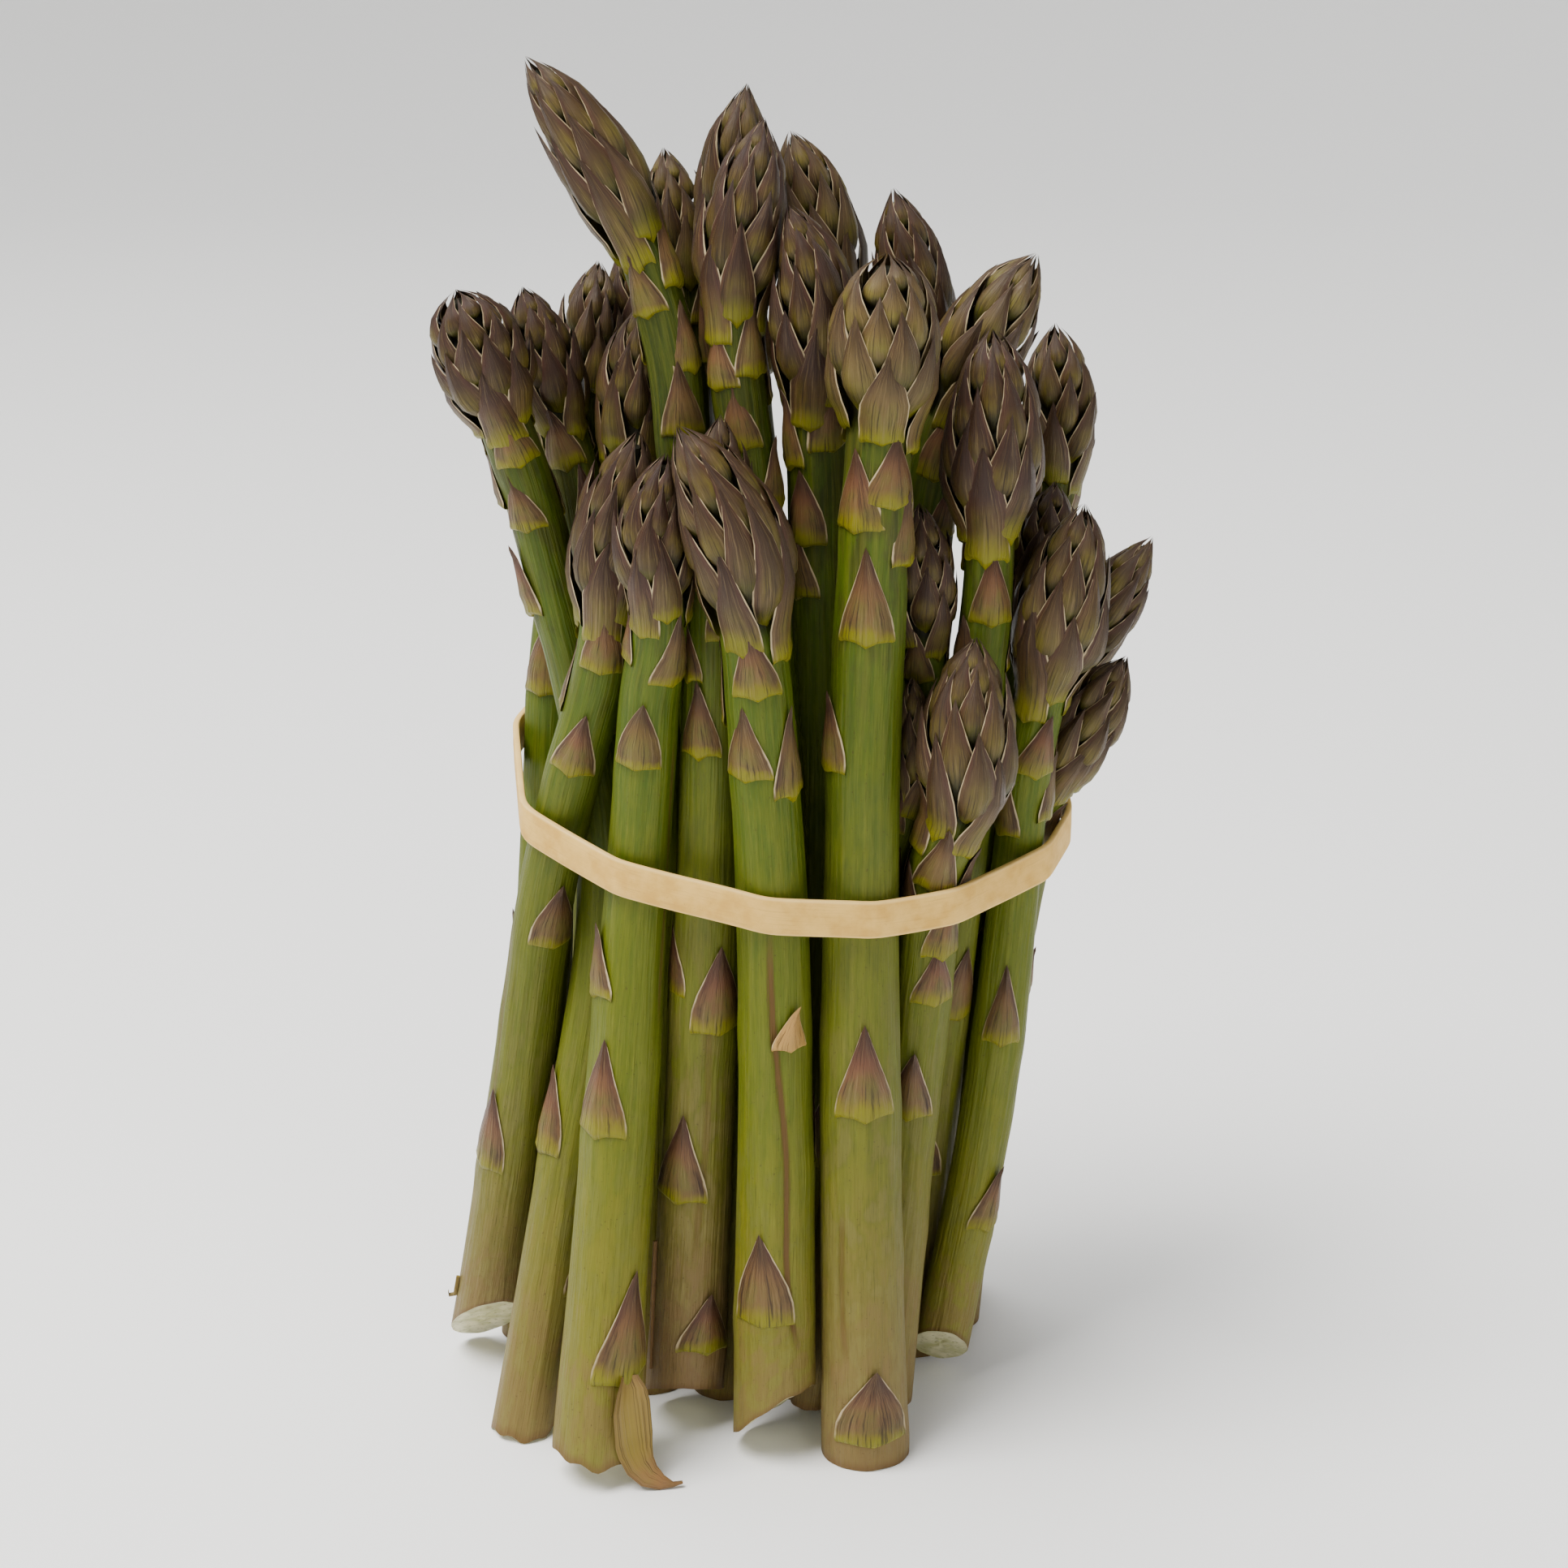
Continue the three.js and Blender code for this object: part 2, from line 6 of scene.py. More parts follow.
import bpy
import numpy as np
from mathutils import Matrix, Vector


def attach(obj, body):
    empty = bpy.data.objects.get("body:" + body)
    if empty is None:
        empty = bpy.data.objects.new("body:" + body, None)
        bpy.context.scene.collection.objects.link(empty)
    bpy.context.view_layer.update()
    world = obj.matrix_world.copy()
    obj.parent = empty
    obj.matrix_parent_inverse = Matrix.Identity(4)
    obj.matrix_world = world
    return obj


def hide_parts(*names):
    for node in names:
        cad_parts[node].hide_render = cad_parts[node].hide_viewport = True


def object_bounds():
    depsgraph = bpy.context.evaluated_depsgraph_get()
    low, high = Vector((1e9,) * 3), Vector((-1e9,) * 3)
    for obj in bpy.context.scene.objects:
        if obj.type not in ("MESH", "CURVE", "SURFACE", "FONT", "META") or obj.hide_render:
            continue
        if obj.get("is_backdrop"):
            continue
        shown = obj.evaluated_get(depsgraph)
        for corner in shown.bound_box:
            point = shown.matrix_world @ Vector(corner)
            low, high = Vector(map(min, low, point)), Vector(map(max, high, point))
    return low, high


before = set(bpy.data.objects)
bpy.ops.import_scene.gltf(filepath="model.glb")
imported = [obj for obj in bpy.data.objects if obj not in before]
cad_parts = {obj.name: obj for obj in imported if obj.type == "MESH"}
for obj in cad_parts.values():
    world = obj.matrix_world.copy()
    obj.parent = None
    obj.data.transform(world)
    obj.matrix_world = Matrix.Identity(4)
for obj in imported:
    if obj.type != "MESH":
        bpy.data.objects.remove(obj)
box_low, box_high = (np.array(v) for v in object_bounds())

# ------------------------------------------------------------------------------------------------
# The camera. It stands in front of the bundle, a little above its tips, and looks down on the waist.
# ------------------------------------------------------------------------------------------------
CAMERA_AT = (-0.00016, -0.44368, 0.26802)
CAMERA_TILT = 19.0        # degrees below the horizon
CAMERA_LENS = 61.96       # on a 36 mm square picture

camera_data = bpy.data.cameras.new("camera")
camera_data.lens, camera_data.sensor_width = CAMERA_LENS, 36.0
camera_data.clip_start, camera_data.clip_end = 0.01, 20.0
camera = bpy.data.objects.new("camera", camera_data)
camera.location = CAMERA_AT
camera.rotation_euler = (math.radians(90 - CAMERA_TILT), 0, 0)
bpy.context.scene.collection.objects.link(camera)
bpy.context.scene.camera = camera

# ------------------------------------------------------------------------------------------------
# How the spears stand. Thirty stalks leave the table a little apart, squeeze through the band's waist
# and fan out again, each pushed aside by the ones it touches. Millimetres here; metres come last.
# ------------------------------------------------------------------------------------------------
BAND_HEIGHT, BAND_SLOPE = 114.0, (-0.11, 0.28)      # the band's tilted plane
STEPS = 18                # stretches of an axis
ROUNDINGS = 2             # how often an axis's corners are eased
BELLY_AT = 0.3            # a bud is widest at this share of its length
ELBOW_ROOM, STIFFNESS, ROUNDS = 1.0, 0.06, 100      # how the crowd settles
MAY_TOUCH = 30            # spears that stay further apart than this never push
PUSH_SHARE = 0.5          # how much of the missing room one round makes up
GIVES_WAY = {(0, 0): 0.5, (0, 1): 0.8, (1, 0): 0.2, (1, 1): 0.5}     # by whether it, and the other, is steady
STRAIGHT_BELOW = 0.92     # above this share of the length, less the bud's, an axis keeps its bends

# number: foot (with the height of the cut end), waist, neck, tip, radii at foot, neck and bud,
# fullness of the bud, 1 for a steady outer spear that keeps its place, slope of an oblique cut end
SPEARS = [
  (1, (-14, 7, 0), (-9, -11), (-20, -8, 209), (-41, -4, 238), (6.4, 4.0, 5.8), 1.9),
  (2, (-47, -22, 0), (-27, -3), (-45, -12, 181), (-52, -15, 203), (5.8, 4.2, 6.7), 3.6),
  (3, (-36, 1, 0), (-29, 7), (-37, 3, 177), (-43, 2, 201), (6.2, 4.1, 5.6), 2.0),
  (4, (-49, 12, 0), (-39, 1), (-33, 14, 182), (-31, 18, 203), (5.8, 4.0, 4.6), 2.0),
  (5, (-24, -5, 0), (-18, -2), (-26, -1, 174), (-23, -2, 199), (6.4, 4.8, 5.3), 2.0),
  (6, (-16, 19, 0), (-10, 4), (-17, 14, 199), (-20, 15, 222), (6.4, 4.6, 5.2), 2.0),
  (7, (-31, 15, 1), (-20, 12), (-25, 21, 182), (-27, 23, 206), (6.4, 4.6, 4.8), 1.9),
  (8, (-5, 21, 0), (-2, 14), (-10, 6, 203), (-6, 7, 233), (6.6, 4.6, 5.8), 1.9),
  (9, (-11, -6, 0), (2, -12), (-8, -10, 197), (-3, -8, 229), (6.5, 4.2, 6.3), 2.0),
  (10, (-1, 9, 0), (11, 14), (9, 14, 197), (1, 13, 225), (6.6, 4.8, 6.6), 2.0),
  (11, (2, -7, 0), (8, 1), (5, -10, 183), (-1, -12, 216), (6.4, 4.6, 6.9), 1.9),
  (12, (14, -28, 0), (12, -26), (15, -24, 182), (16, -24, 210), (7.6, 5.3, 8.0), 3.0, 1),
  (13, (8, 19, 0), (22, 12), (25, 8, 188), (18, 9, 216), (6.2, 4.6, 5.6), 2.0),
  (14, (12, 8, 0), (19, 1), (25, -4, 180), (41, -3, 207), (6.2, 4.4, 6.6), 2.4),
  (15, (20, 30, 0), (31, 18), (48, 12, 166), (46, 14, 193), (5.8, 4.5, 5.8), 2.2),
  (16, (24, 8, 0), (31, -15), (34, -15, 163), (33, -14, 197), (5.5, 4.1, 7.5), 2.1, 1),
  (17, (14, -3, 0), (24, -8), (23, -15, 144), (22, -17, 169), (5.3, 3.9, 5.3), 1.9),
  (18, (19, 19, 0), (32, 0), (44, 3, 148), (46, 4, 168), (5.4, 4.2, 4.7), 2.0),
  (19, (28, -5, 1), (39, -9), (43, -13, 135), (49, -13, 168), (5.0, 4.0, 7.4), 2.1, 1, (-0.25, -1.1)),
  (20, (31, 28, 0), (39, 11), (50, 5, 136), (63, 5, 158), (5.3, 4.2, 4.9), 2.0),
  (21, (31, 18, 0), (41, 2), (45, -5, 117), (58, -6, 140), (5.3, 4.4, 5.4), 2.1),
  (22, (17, -15, 2), (24, -22), (28, -24, 117), (31, -26, 149), (5.3, 4.7, 7.5), 2.0, 1),
  (23, (5, -17, 3), (18, -14), (20, -19, 119), (21, -21, 141), (3.8, 2.9, 3.4), 1.9),
  (24, (-57, 3, 1), (-37, -11), (-28, -21, 149), (-23, -23, 182), (6.3, 4.4, 6.3), 2.2, 1, (0.2, -0.95)),
  (25, (-1, -29, 1), (0, -27), (-5, -30, 151), (-17, -33, 185), (7.5, 5.2, 7.4), 2.2, 1, (0.7, -0.6)),
  (26, (-18, -19, 2), (-12, -23), (-12, -22, 157), (-10, -20, 184), (7.0, 4.6, 5.4), 2.0, 1, (0.0, -0.6)),
  (27, (-33, -36, 4), (-24, -18), (-19, -28, 154), (-17, -31, 180), (7.4, 4.4, 5.6), 2.0, 1, (0.0, 0.2)),
  (28, (-6, 34, 0), (3, 27), (-10, 30, 168), (-13, 33, 194), (6.6, 4.9, 6.2), 2.0),
  (29, (8, 32, 0), (17, 25), (17, 30, 150), (20, 33, 180), (6.6, 5.0, 6.8), 2.1),
  (30, (-40, 27, 2), (-31, 18), (-40, 24, 148), (-44, 28, 175), (6.4, 4.7, 6.0), 2.1),
]


def draw(seed, k):
    """A repeatable draw between 0 and 1 for the k-th feature of a spear."""
    v = math.sin(seed * 127.1 + k * 311.7) * 43758.5453
    return v - math.floor(v)


def lerp(a, b, t):
    return a + (b - a) * t


def smoothstep(x, lo, hi):
    t = np.clip((x - lo) / (hi - lo), 0, 1)
    return t * t * (3 - 2 * t)


def band_plane(x, y):
    return BAND_HEIGHT + BAND_SLOPE[0] * x + BAND_SLOPE[1] * y


def radius_at(s, u):
    foot, neck, bud = s.radii
    start = 1 - s.bud_share
    h = np.clip((u - start) / s.bud_share, 0, 1)
    belly = lerp(neck, bud, smoothstep(h, 0, BELLY_AT))
    head = belly * (1 - np.maximum(0, (h - BELLY_AT) / (1 - BELLY_AT)) ** s.full)
    return np.where(u <= start, lerp(foot, neck, u / start), head)


def nearest(points, q):
    """Distance, share of length and nearest point on one axis for each of the points q."""
    a, line = points[:-1], np.diff(points, axis=0)
    off = q[:, None, :] - a[None]
    t = np.clip((off * line).sum(2) / (line * line).sum(1), 0, 1)
    spot = a[None] + line[None] * t[..., None]
    d = np.linalg.norm(q[:, None, :] - spot, axis=2)
    k = d.argmin(1)
    i = np.arange(len(q))
    return d[i, k], (k + t[i, k]) / STEPS, spot[i, k]


class Spear:
    def __init__(s, number, foot, waist, neck, tip, radii, full, steady=0, cut=(0.0, 0.0)):
        s.number, s.foot, s.radii, s.full, s.steady, s.cut = number, foot, radii, full, steady, cut
        corners = np.array([foot, (*waist, band_plane(*waist)), neck, tip], float)
        reach = np.concatenate([[0], np.cumsum(np.linalg.norm(np.diff(corners, axis=0), axis=1))])
        at = np.linspace(0, reach[-1], STEPS + 1)
        p = np.stack([np.interp(at, reach, corners[:, c]) for c in range(3)], 1)
        for _ in range(ROUNDINGS):
            p[1:-1] = p[1:-1] / 2 + (p[:-2] + p[2:]) / 4
        s.points = p
        s.length = np.linalg.norm(np.diff(p, axis=0), axis=1).sum()
        s.bud_share = np.linalg.norm(corners[3] - corners[2]) / s.length
        s.start = 1 - s.bud_share


spears = [Spear(*row) for row in SPEARS]

index = np.arange(STEPS + 1)
share, before, after = index / STEPS, np.maximum(0, index - 1), np.minimum(STEPS, index + 1)
near = {s.number: [o for o in spears if o is not s and nearest(o.points, s.points)[0].min() < MAY_TOUCH]
        for s in spears}
for _ in range(ROUNDS):
    pushes = []
    for s in spears:
        push = np.zeros((STEPS + 1, 3))
        own = radius_at(s, share)
        for o in near[s.number]:
            d, u, q = nearest(o.points, s.points)
            missing = np.maximum(0, own + radius_at(o, u) + ELBOW_ROOM - d)
            if not missing.any():
                continue
            away = s.points - q
            away[:, 2] = 0
            away /= np.maximum(np.linalg.norm(away, axis=1, keepdims=True), 1e-9)
            push += away * (missing * GIVES_WAY[s.steady, o.steady] * PUSH_SHARE)[:, None]
        pushes.append(push)
    for s, push in zip(spears, pushes):
        old = s.points
        moved = old + push * 0.5 + push[before] * 0.25 + push[after] * 0.25
        stalk = (share > 0) & (share < STRAIGHT_BELOW - s.bud_share)
        moved[stalk] += STIFFNESS * (old[before] + old[after] - 2 * old)[stalk]
        s.points = moved


def axis_frame(s, u):
    """Place, direction, side and back of an axis at the shares u: a smooth curve through its points."""
    p = np.vstack([2 * s.points[0] - s.points[1], s.points, 2 * s.points[-1] - s.points[-2]])
    at = np.clip(u, 0, 1) * STEPS
    k = np.minimum(STEPS - 1, np.floor(at).astype(int))
    t = (at - k)[:, None]
    a, b, c, d = p[k], p[k + 1], p[k + 2], p[k + 3]
    t2, t3 = t * t, t ** 3
    place = (-t3 + 2 * t2 - t) * a + (3 * t3 - 5 * t2 + 2) * b
    place = (place + (-3 * t3 + 4 * t2 + t) * c + (t3 - t2) * d) / 2
    along = (-3 * t2 + 4 * t - 1) * a + (9 * t2 - 10 * t) * b
    along = along + (-9 * t2 + 8 * t + 1) * c + (3 * t2 - 2 * t) * d
    along /= np.linalg.norm(along, axis=1, keepdims=True)
    side = np.array([1.0, 0, 0]) - along * along[:, :1]
    side /= np.linalg.norm(side, axis=1, keepdims=True)
    return place, along, side, np.cross(along, side)


CROSSING_POINTS = 2001    # how finely an axis is searched for the band


def band_crossing(s):
    """The share of a spear's length at which it passes the middle of the band."""
    u = np.linspace(0, 1, CROSSING_POINTS)
    p = axis_frame(s, u)[0]
    return u[np.argmax(p[:, 2] >= band_plane(p[:, 0], p[:, 1]))]

# ------------------------------------------------------------------------------------------------
# How much room each spear has. Where two stalks lean on each other both are pressed flat a little, so
# each one's reach is tabled round its axis and along it, and every skin, leaf and scale keeps to it.
# ------------------------------------------------------------------------------------------------
ROOM_ROWS, ROOM_TURNS = 90, 48
FREE = 14.0               # the reach where nothing is near
CAN_CROWD = 24            # only spears that come this near are measured
PROBE = 3                 # how far outside its own radius a spear looks for neighbours
REFINEMENTS = 3           # how often the nearest point of a neighbour is looked for again
TOUCH = 0.2               # what stays open between two skins
PRESS = 0.15              # how far a layer pressed against a neighbour keeps under the layer over it
OUTERMOST = 1.8           # the height over the stalk of the outermost layer
SOFTNESS = 0.12           # how gently a skin bends away as it meets its limit
LEAST_REACH = 0.12        # no point of a skin is nearer to its axis


def room_table(s):
    """How far each point of a spear may stand from its axis before it meets a neighbour."""
    u = np.linspace(0, 1, ROOM_ROWS)
    turn = np.linspace(0, 2 * math.pi, ROOM_TURNS, endpoint=False)
    spot, _, side, back = axis_frame(s, u)
    way = side[:, None] * np.cos(turn)[None, :, None] + back[:, None] * np.sin(turn)[None, :, None]
    at = np.repeat(spot[:, None], ROOM_TURNS, 1).reshape(-1, 3)
    way = way.reshape(-1, 3)
    radius = np.repeat(radius_at(s, u), ROOM_TURNS)
    room = np.full(len(at), FREE)
    for o in spears:
        if o is s or nearest(o.points, s.points)[0].min() > CAN_CROWD:
            continue
        reach = radius.copy()
        for _ in range(REFINEMENTS):
            _, share_o, q = nearest(o.points, at + way * np.minimum(reach, radius + PROBE)[:, None])
            w = q - at
            k = radius_at(o, share_o) - radius + TOUCH
            facing = 2 * (k + (w * way).sum(1))
            reach = np.where(facing > 1e-6, ((w * w).sum(1) - k * k) / np.maximum(facing, 1e-6), FREE)
        room = np.minimum(room, reach)
    return room.reshape(ROOM_ROWS, ROOM_TURNS)


def room_at(s, u, turn):
    row = np.clip(u, 0, 1) * (ROOM_ROWS - 1)
    col = (turn / (2 * math.pi) % 1) * ROOM_TURNS
    i, j = np.minimum(row.astype(int), ROOM_ROWS - 2), col.astype(int) % ROOM_TURNS
    f, g, k = row - i, col - col.astype(int), (j + 1) % ROOM_TURNS
    t = s.room
    return (t[i, j] * (1 - f) + t[i + 1, j] * f) * (1 - g) + (t[i, k] * (1 - f) + t[i + 1, k] * f) * g


def on_spear(s, far, turn, height):
    """Points at the distance far from the foot along a spear, turned round it, at a height over its skin."""
    u = far / s.length
    spot, along, side, back = axis_frame(s, u)
    plain = radius_at(s, u) + height
    limit = room_at(s, u, turn) - PRESS * (OUTERMOST - height)
    gap = np.abs(plain - limit)
    reach = np.minimum(plain, limit) - SOFTNESS * np.log1p(np.exp(-gap / SOFTNESS))
    reach = np.maximum(reach, LEAST_REACH)
    way = side * np.cos(turn)[:, None] + back * np.sin(turn)[:, None]
    return spot + way * reach[:, None]


for s in spears:
    s.room = room_table(s)

# ------------------------------------------------------------------------------------------------
# What the spears are made of: waxy stalk, papery scales, wet cut flesh. Each point carries its way round and
# distance from the foot ("turn"), how dull its stalk and how dark its bud is and how near the tip it lies
# ("trait"), its place beside the scar ("scar"), and its place from root to tip and edge to edge ("blade").
# ------------------------------------------------------------------------------------------------
def linear(r, g, b):
    """A colour given as it looks on a screen, 0 to 255, as the shader wants it."""
    shares = (c / 255 for c in (r, g, b))
    return tuple(((c + 0.055) / 1.055) ** 2.4 if c > 10 / 255 else c / 12.92 for c in shares) + (1.0,)


class Shade:
    """A few short words for wiring nodes."""

    def __init__(self, tree):
        self.tree, self.nodes, self.links = tree, tree.nodes, tree.links

    def node(self, kind, **settings):
        n = self.nodes.new(kind)
        for key, value in settings.items():
            setattr(n, key, value)
        return n

    def put(self, socket, value):
        if isinstance(value, bpy.types.NodeSocket):
            self.links.new(value, socket)
        else:
            socket.default_value = value

    def fill(self, n, values):
        for key, value in values.items():
            self.put(n.inputs[key], value)
        return n.outputs

    def reckon(self, operation, a, b=0.0):
        return self.fill(self.node("ShaderNodeMath", operation=operation), {0: a, 1: b})[0]

    def times(self, a, b):
        return self.reckon("MULTIPLY", a, b)

    def plus(self, a, b):
        return self.reckon("ADD", a, b)

    def minus(self, a, b):
        return self.reckon("SUBTRACT", a, b)

    def size(self, a):
        return self.reckon("ABSOLUTE", a)

    def span(self, value, lo, hi, to_lo=0.0, to_hi=1.0, kind="SMOOTHSTEP"):
        n = self.node("ShaderNodeMapRange", interpolation_type=kind)
        return self.fill(n, dict(enumerate((value, lo, hi, to_lo, to_hi))))[0]

    def mix(self, factor, a, b):
        n = self.node("ShaderNodeMix", data_type="RGBA")
        return self.fill(n, {0: factor, 6: a, 7: b})[2]

    def over(self, colour, mask, *screen):
        """The colour with another laid over it as far as the mask says."""
        return self.mix(mask, colour, linear(*screen))

    def attribute(self, name):
        n = self.node("ShaderNodeAttribute", attribute_name=name)
        return self.fill(self.node("ShaderNodeSeparateXYZ"), {0: n.outputs["Vector"]})

    def point(self, x, y, z):
        return self.fill(self.node("ShaderNodeCombineXYZ"), {0: x, 1: y, 2: z})[0]

    def noise(self, vector, scale, detail=3.0, rough=0.55):
        values = {"Vector": vector, "Scale": scale, "Detail": detail, "Roughness": rough}
        return self.fill(self.node("ShaderNodeTexNoise"), values)[0]

    def surface(self, principled, looks, height, strength, relief=0.0002):
        """Fills in how a surface looks, and lets the height stand out of it by the relief in metres."""
        bump = self.node("ShaderNodeBump")
        self.fill(bump, {"Height": height, "Strength": strength, "Distance": relief})
        for key, value in {**looks, "Normal": bump.outputs[0]}.items():
            self.put(principled[key], value)


def shader_group(name, takes, gives):
    tree = bpy.data.node_groups.new(name, "ShaderNodeTree")
    for socket, kind in takes:
        tree.interface.new_socket(name=socket, in_out="INPUT", socket_type="NodeSocket" + kind)
    for socket, kind in gives:
        tree.interface.new_socket(name=socket, in_out="OUTPUT", socket_type="NodeSocket" + kind)
    shade = Shade(tree)
    return shade, shade.node("NodeGroupInput").outputs, shade.node("NodeGroupOutput").inputs


def use_group(shade, tree, **values):
    return shade.fill(shade.node("ShaderNodeGroup", node_tree=tree), values)


# Fibres: fine lines that run up the plant, some broad and soft, some hair-thin, and specks between them.
sh, given, out = shader_group(
    "fibres", [("Around", "Vector"), ("Along", "Float"), ("Seed", "Float")],
    [("Broad", "Float"), ("Fine", "Float"), ("Specks", "Float"), ("Blotches", "Float")])
flat = sh.fill(sh.node("ShaderNodeSeparateXYZ"), {0: given["Around"]})
shift = sh.times(given["Seed"], 37.0)


def fibre_space(around, along):
    return sh.point(sh.plus(sh.times(flat[0], around), shift),
                    sh.times(flat[1], around),
                    sh.plus(sh.times(given["Along"], along), shift))


sh.put(out["Broad"], sh.span(sh.noise(fibre_space(4.0, 0.03), 1.6, 3.0), 0.3, 0.7))
sh.put(out["Fine"], sh.noise(fibre_space(26.0, 0.10), 1.7, 4.0, 0.65))
sh.put(out["Specks"], sh.span(sh.noise(fibre_space(9.0, 1.1), 1.6, 2.0), 0.66, 0.74))
sh.put(out["Blotches"], sh.span(sh.noise(fibre_space(1.6, 0.10), 1.5, 3.0), 0.35, 0.68))
fibres = sh.tree


def new_material(name):
    material = bpy.data.materials.new(name)
    material.use_nodes = True
    shade = Shade(material.node_tree)
    return material, shade, shade.nodes["Principled BSDF"].inputs


# The stalk: deep green under the bud, yellow-green at the waist, paler below; some are bloomed mauve and
# grey, more so towards the foot. A dry scar may run down one side.
skin, sh, principled = new_material("asparagus_stalk")
cos_t, sin_t, far = sh.attribute("turn")
dull, dark, youth = sh.attribute("trait")
aside, same_side, deep = sh.attribute("scar")
grain = use_group(sh, fibres, Around=sh.point(cos_t, sin_t, 0.0), Along=far, Seed=sh.plus(dull, dark))
wander = sh.plus(far, sh.times(sh.minus(grain["Blotches"], 0.5), 34.0))
colour = sh.mix(sh.span(wander, 10, 70), linear(99, 98, 12), linear(77, 88, 1))
colour = sh.over(colour, sh.span(wander, 85, 140), 58, 79, 1)
colour = sh.over(colour, sh.span(wander, 135, 190), 40, 52, 1)
colour = sh.over(colour, sh.times(grain["Broad"], 0.26), 116, 116, 30)
mauve = sh.times(sh.span(wander, 150, 0, 0.25, 1.0), sh.span(grain["Blotches"], 0.05, 0.9, 0.35, 1.0))
colour = sh.over(colour, sh.times(mauve, dull), 96, 72, 48)
bloom = sh.times(sh.span(far, 105, 10), sh.span(grain["Blotches"], 0.4, 0.9, 0.06, 0.5))
colour = sh.over(colour, sh.times(bloom, sh.plus(dull, 0.35)), 128, 114, 66)
colour = sh.over(colour, sh.times(dull, sh.span(wander, 48, 8)), 112, 86, 62)
colour = sh.over(colour, sh.span(wander, 20, -2, 0.0, 0.5), 112, 88, 54)
colour = sh.over(colour, sh.span(grain["Fine"], 0.56, 0.70, 0.0, 0.55), 46, 46, 4)
colour = sh.over(colour, sh.span(grain["Fine"], 0.44, 0.30, 0.0, 0.26), 134, 134, 44)
colour = sh.over(colour, sh.times(grain["Specks"], 0.6), 58, 42, 14)
line = sh.plus(sh.size(aside), sh.times(sh.minus(grain["Fine"], 0.5), 1.6))
line = sh.times(sh.span(line, 0.8, 0.25), sh.times(sh.span(same_side, 0.0, 0.2), deep))
colour = sh.over(colour, line, 86, 62, 24)
colour = sh.over(colour, sh.span(far, 2.2, 0.2, 0.0, 0.65), 92, 66, 34)
# painted shade: the stalk within the bud, down in the crevices under its scales, is darkened in its colour
colour = sh.over(colour, sh.span(youth, 0.25, 0.6), 26, 24, 8)
height = sh.minus(sh.plus(sh.times(grain["Fine"], 0.6), grain["Broad"]), line)
sh.surface(principled, {
    "Base Color": colour, "Roughness": sh.span(grain["Fine"], 0.3, 0.7, 0.40, 0.60),
    "Specular IOR Level": 0.2, "Subsurface Weight": 0.04, "Subsurface Radius": (0.0012, 0.0016, 0.0005),
}, height, 0.6)

# The scales and leaves: purple-brown and papery, olive on the belly, yellow-green at a leaf's root, and a
# thin cream margin that comes and goes.
papery, sh, principled = new_material("asparagus_scale")
cos_t, sin_t, far = sh.attribute("turn")
dull, dark, youth = sh.attribute("trait")
up, across, own = sh.attribute("blade")
width = sh.size(across)
grain = use_group(sh, fibres, Around=sh.point(cos_t, sin_t, 0.0), Along=far, Seed=own)
streak = sh.noise(sh.point(sh.times(across, 11.0), sh.times(up, 1.3),
                           sh.times(own, 50.0)), 1.4, 5.0, 0.62)
patch = sh.noise(sh.point(sh.times(across, 1.6), sh.times(up, 2.6),
                          sh.times(own, 90.0)), 1.2, 3.0, 0.55)
leaf_brown = sh.mix(own, linear(92, 74, 34), linear(104, 67, 44))
leaf_brown = sh.over(leaf_brown, sh.times(dull, 0.7), 98, 56, 46)
bud_brown = sh.mix(dark, linear(98, 81, 44), linear(51, 33, 21))
brown = sh.mix(youth, leaf_brown, bud_brown)
belly = sh.times(sh.span(up, 0.05, 0.22), sh.span(up, 0.62, 0.34))
olive = sh.mix(youth, linear(90, 82, 34), sh.mix(dark, linear(102, 95, 36), linear(82, 70, 20)))
brown = sh.mix(sh.times(belly, sh.span(patch, 0.35, 0.65, 0.25, 0.95)), brown, olive)
brown = sh.over(brown, sh.times(youth, sh.span(own, 0.62, 0.85, 0.0, 0.45)), 48, 29, 22)
brown = sh.over(brown, sh.span(up, 0.45, 0.85, 0.0, 0.72), 44, 27, 20)
blush = sh.times(sh.span(width, 0.35, 0.85), sh.span(patch, 0.3, 0.6, 0.2, 0.8))
brown = sh.over(brown, sh.times(blush, sh.span(dark, 0.0, 0.6, 0.3, 1.0)), 66, 40, 32)
green = sh.mix(youth, linear(110, 106, 1), linear(92, 92, 2))
root = sh.plus(up, sh.times(sh.minus(patch, 0.5), 0.30))
root = sh.plus(root, sh.times(width, 0.06))
reach = sh.span(own, 0.0, 1.0, 0.20, 0.36, "LINEAR")
colour = sh.mix(sh.span(root, 0.07, reach), green, brown)
colour = sh.over(colour, sh.span(own, 1.0, 1.05, 0.0, 0.9), 168, 130, 70)
colour = sh.over(colour, sh.span(streak, 0.52, 0.66, 0.0, 0.75), 34, 22, 17)
colour = sh.over(colour, sh.span(streak, 0.46, 0.33, 0.0, 0.36), 128, 108, 70)
colour = sh.over(colour, sh.span(grain["Fine"], 0.55, 0.75, 0.0, 0.4), 48, 33, 26)
# painted shade: the root of each bud scale, where it lies in the crevice under the scales below, is darkened
# in its colour
painted_crevice_shade = sh.times(sh.span(youth, 0.45, 1.0), sh.span(up, 0.34, 0.08, 0.0, 0.92))
colour = sh.over(colour, painted_crevice_shade, 20, 17, 7)
edge = sh.plus(width, sh.times(sh.minus(patch, 0.5), 0.16))
edge = sh.times(sh.span(edge, 0.91, 0.97), sh.span(up, 0.03, 0.14))
edge = sh.times(edge, sh.span(patch, 0.25, 0.6, 0.45, 0.9))
colour = sh.over(colour, edge, 176, 158, 122)
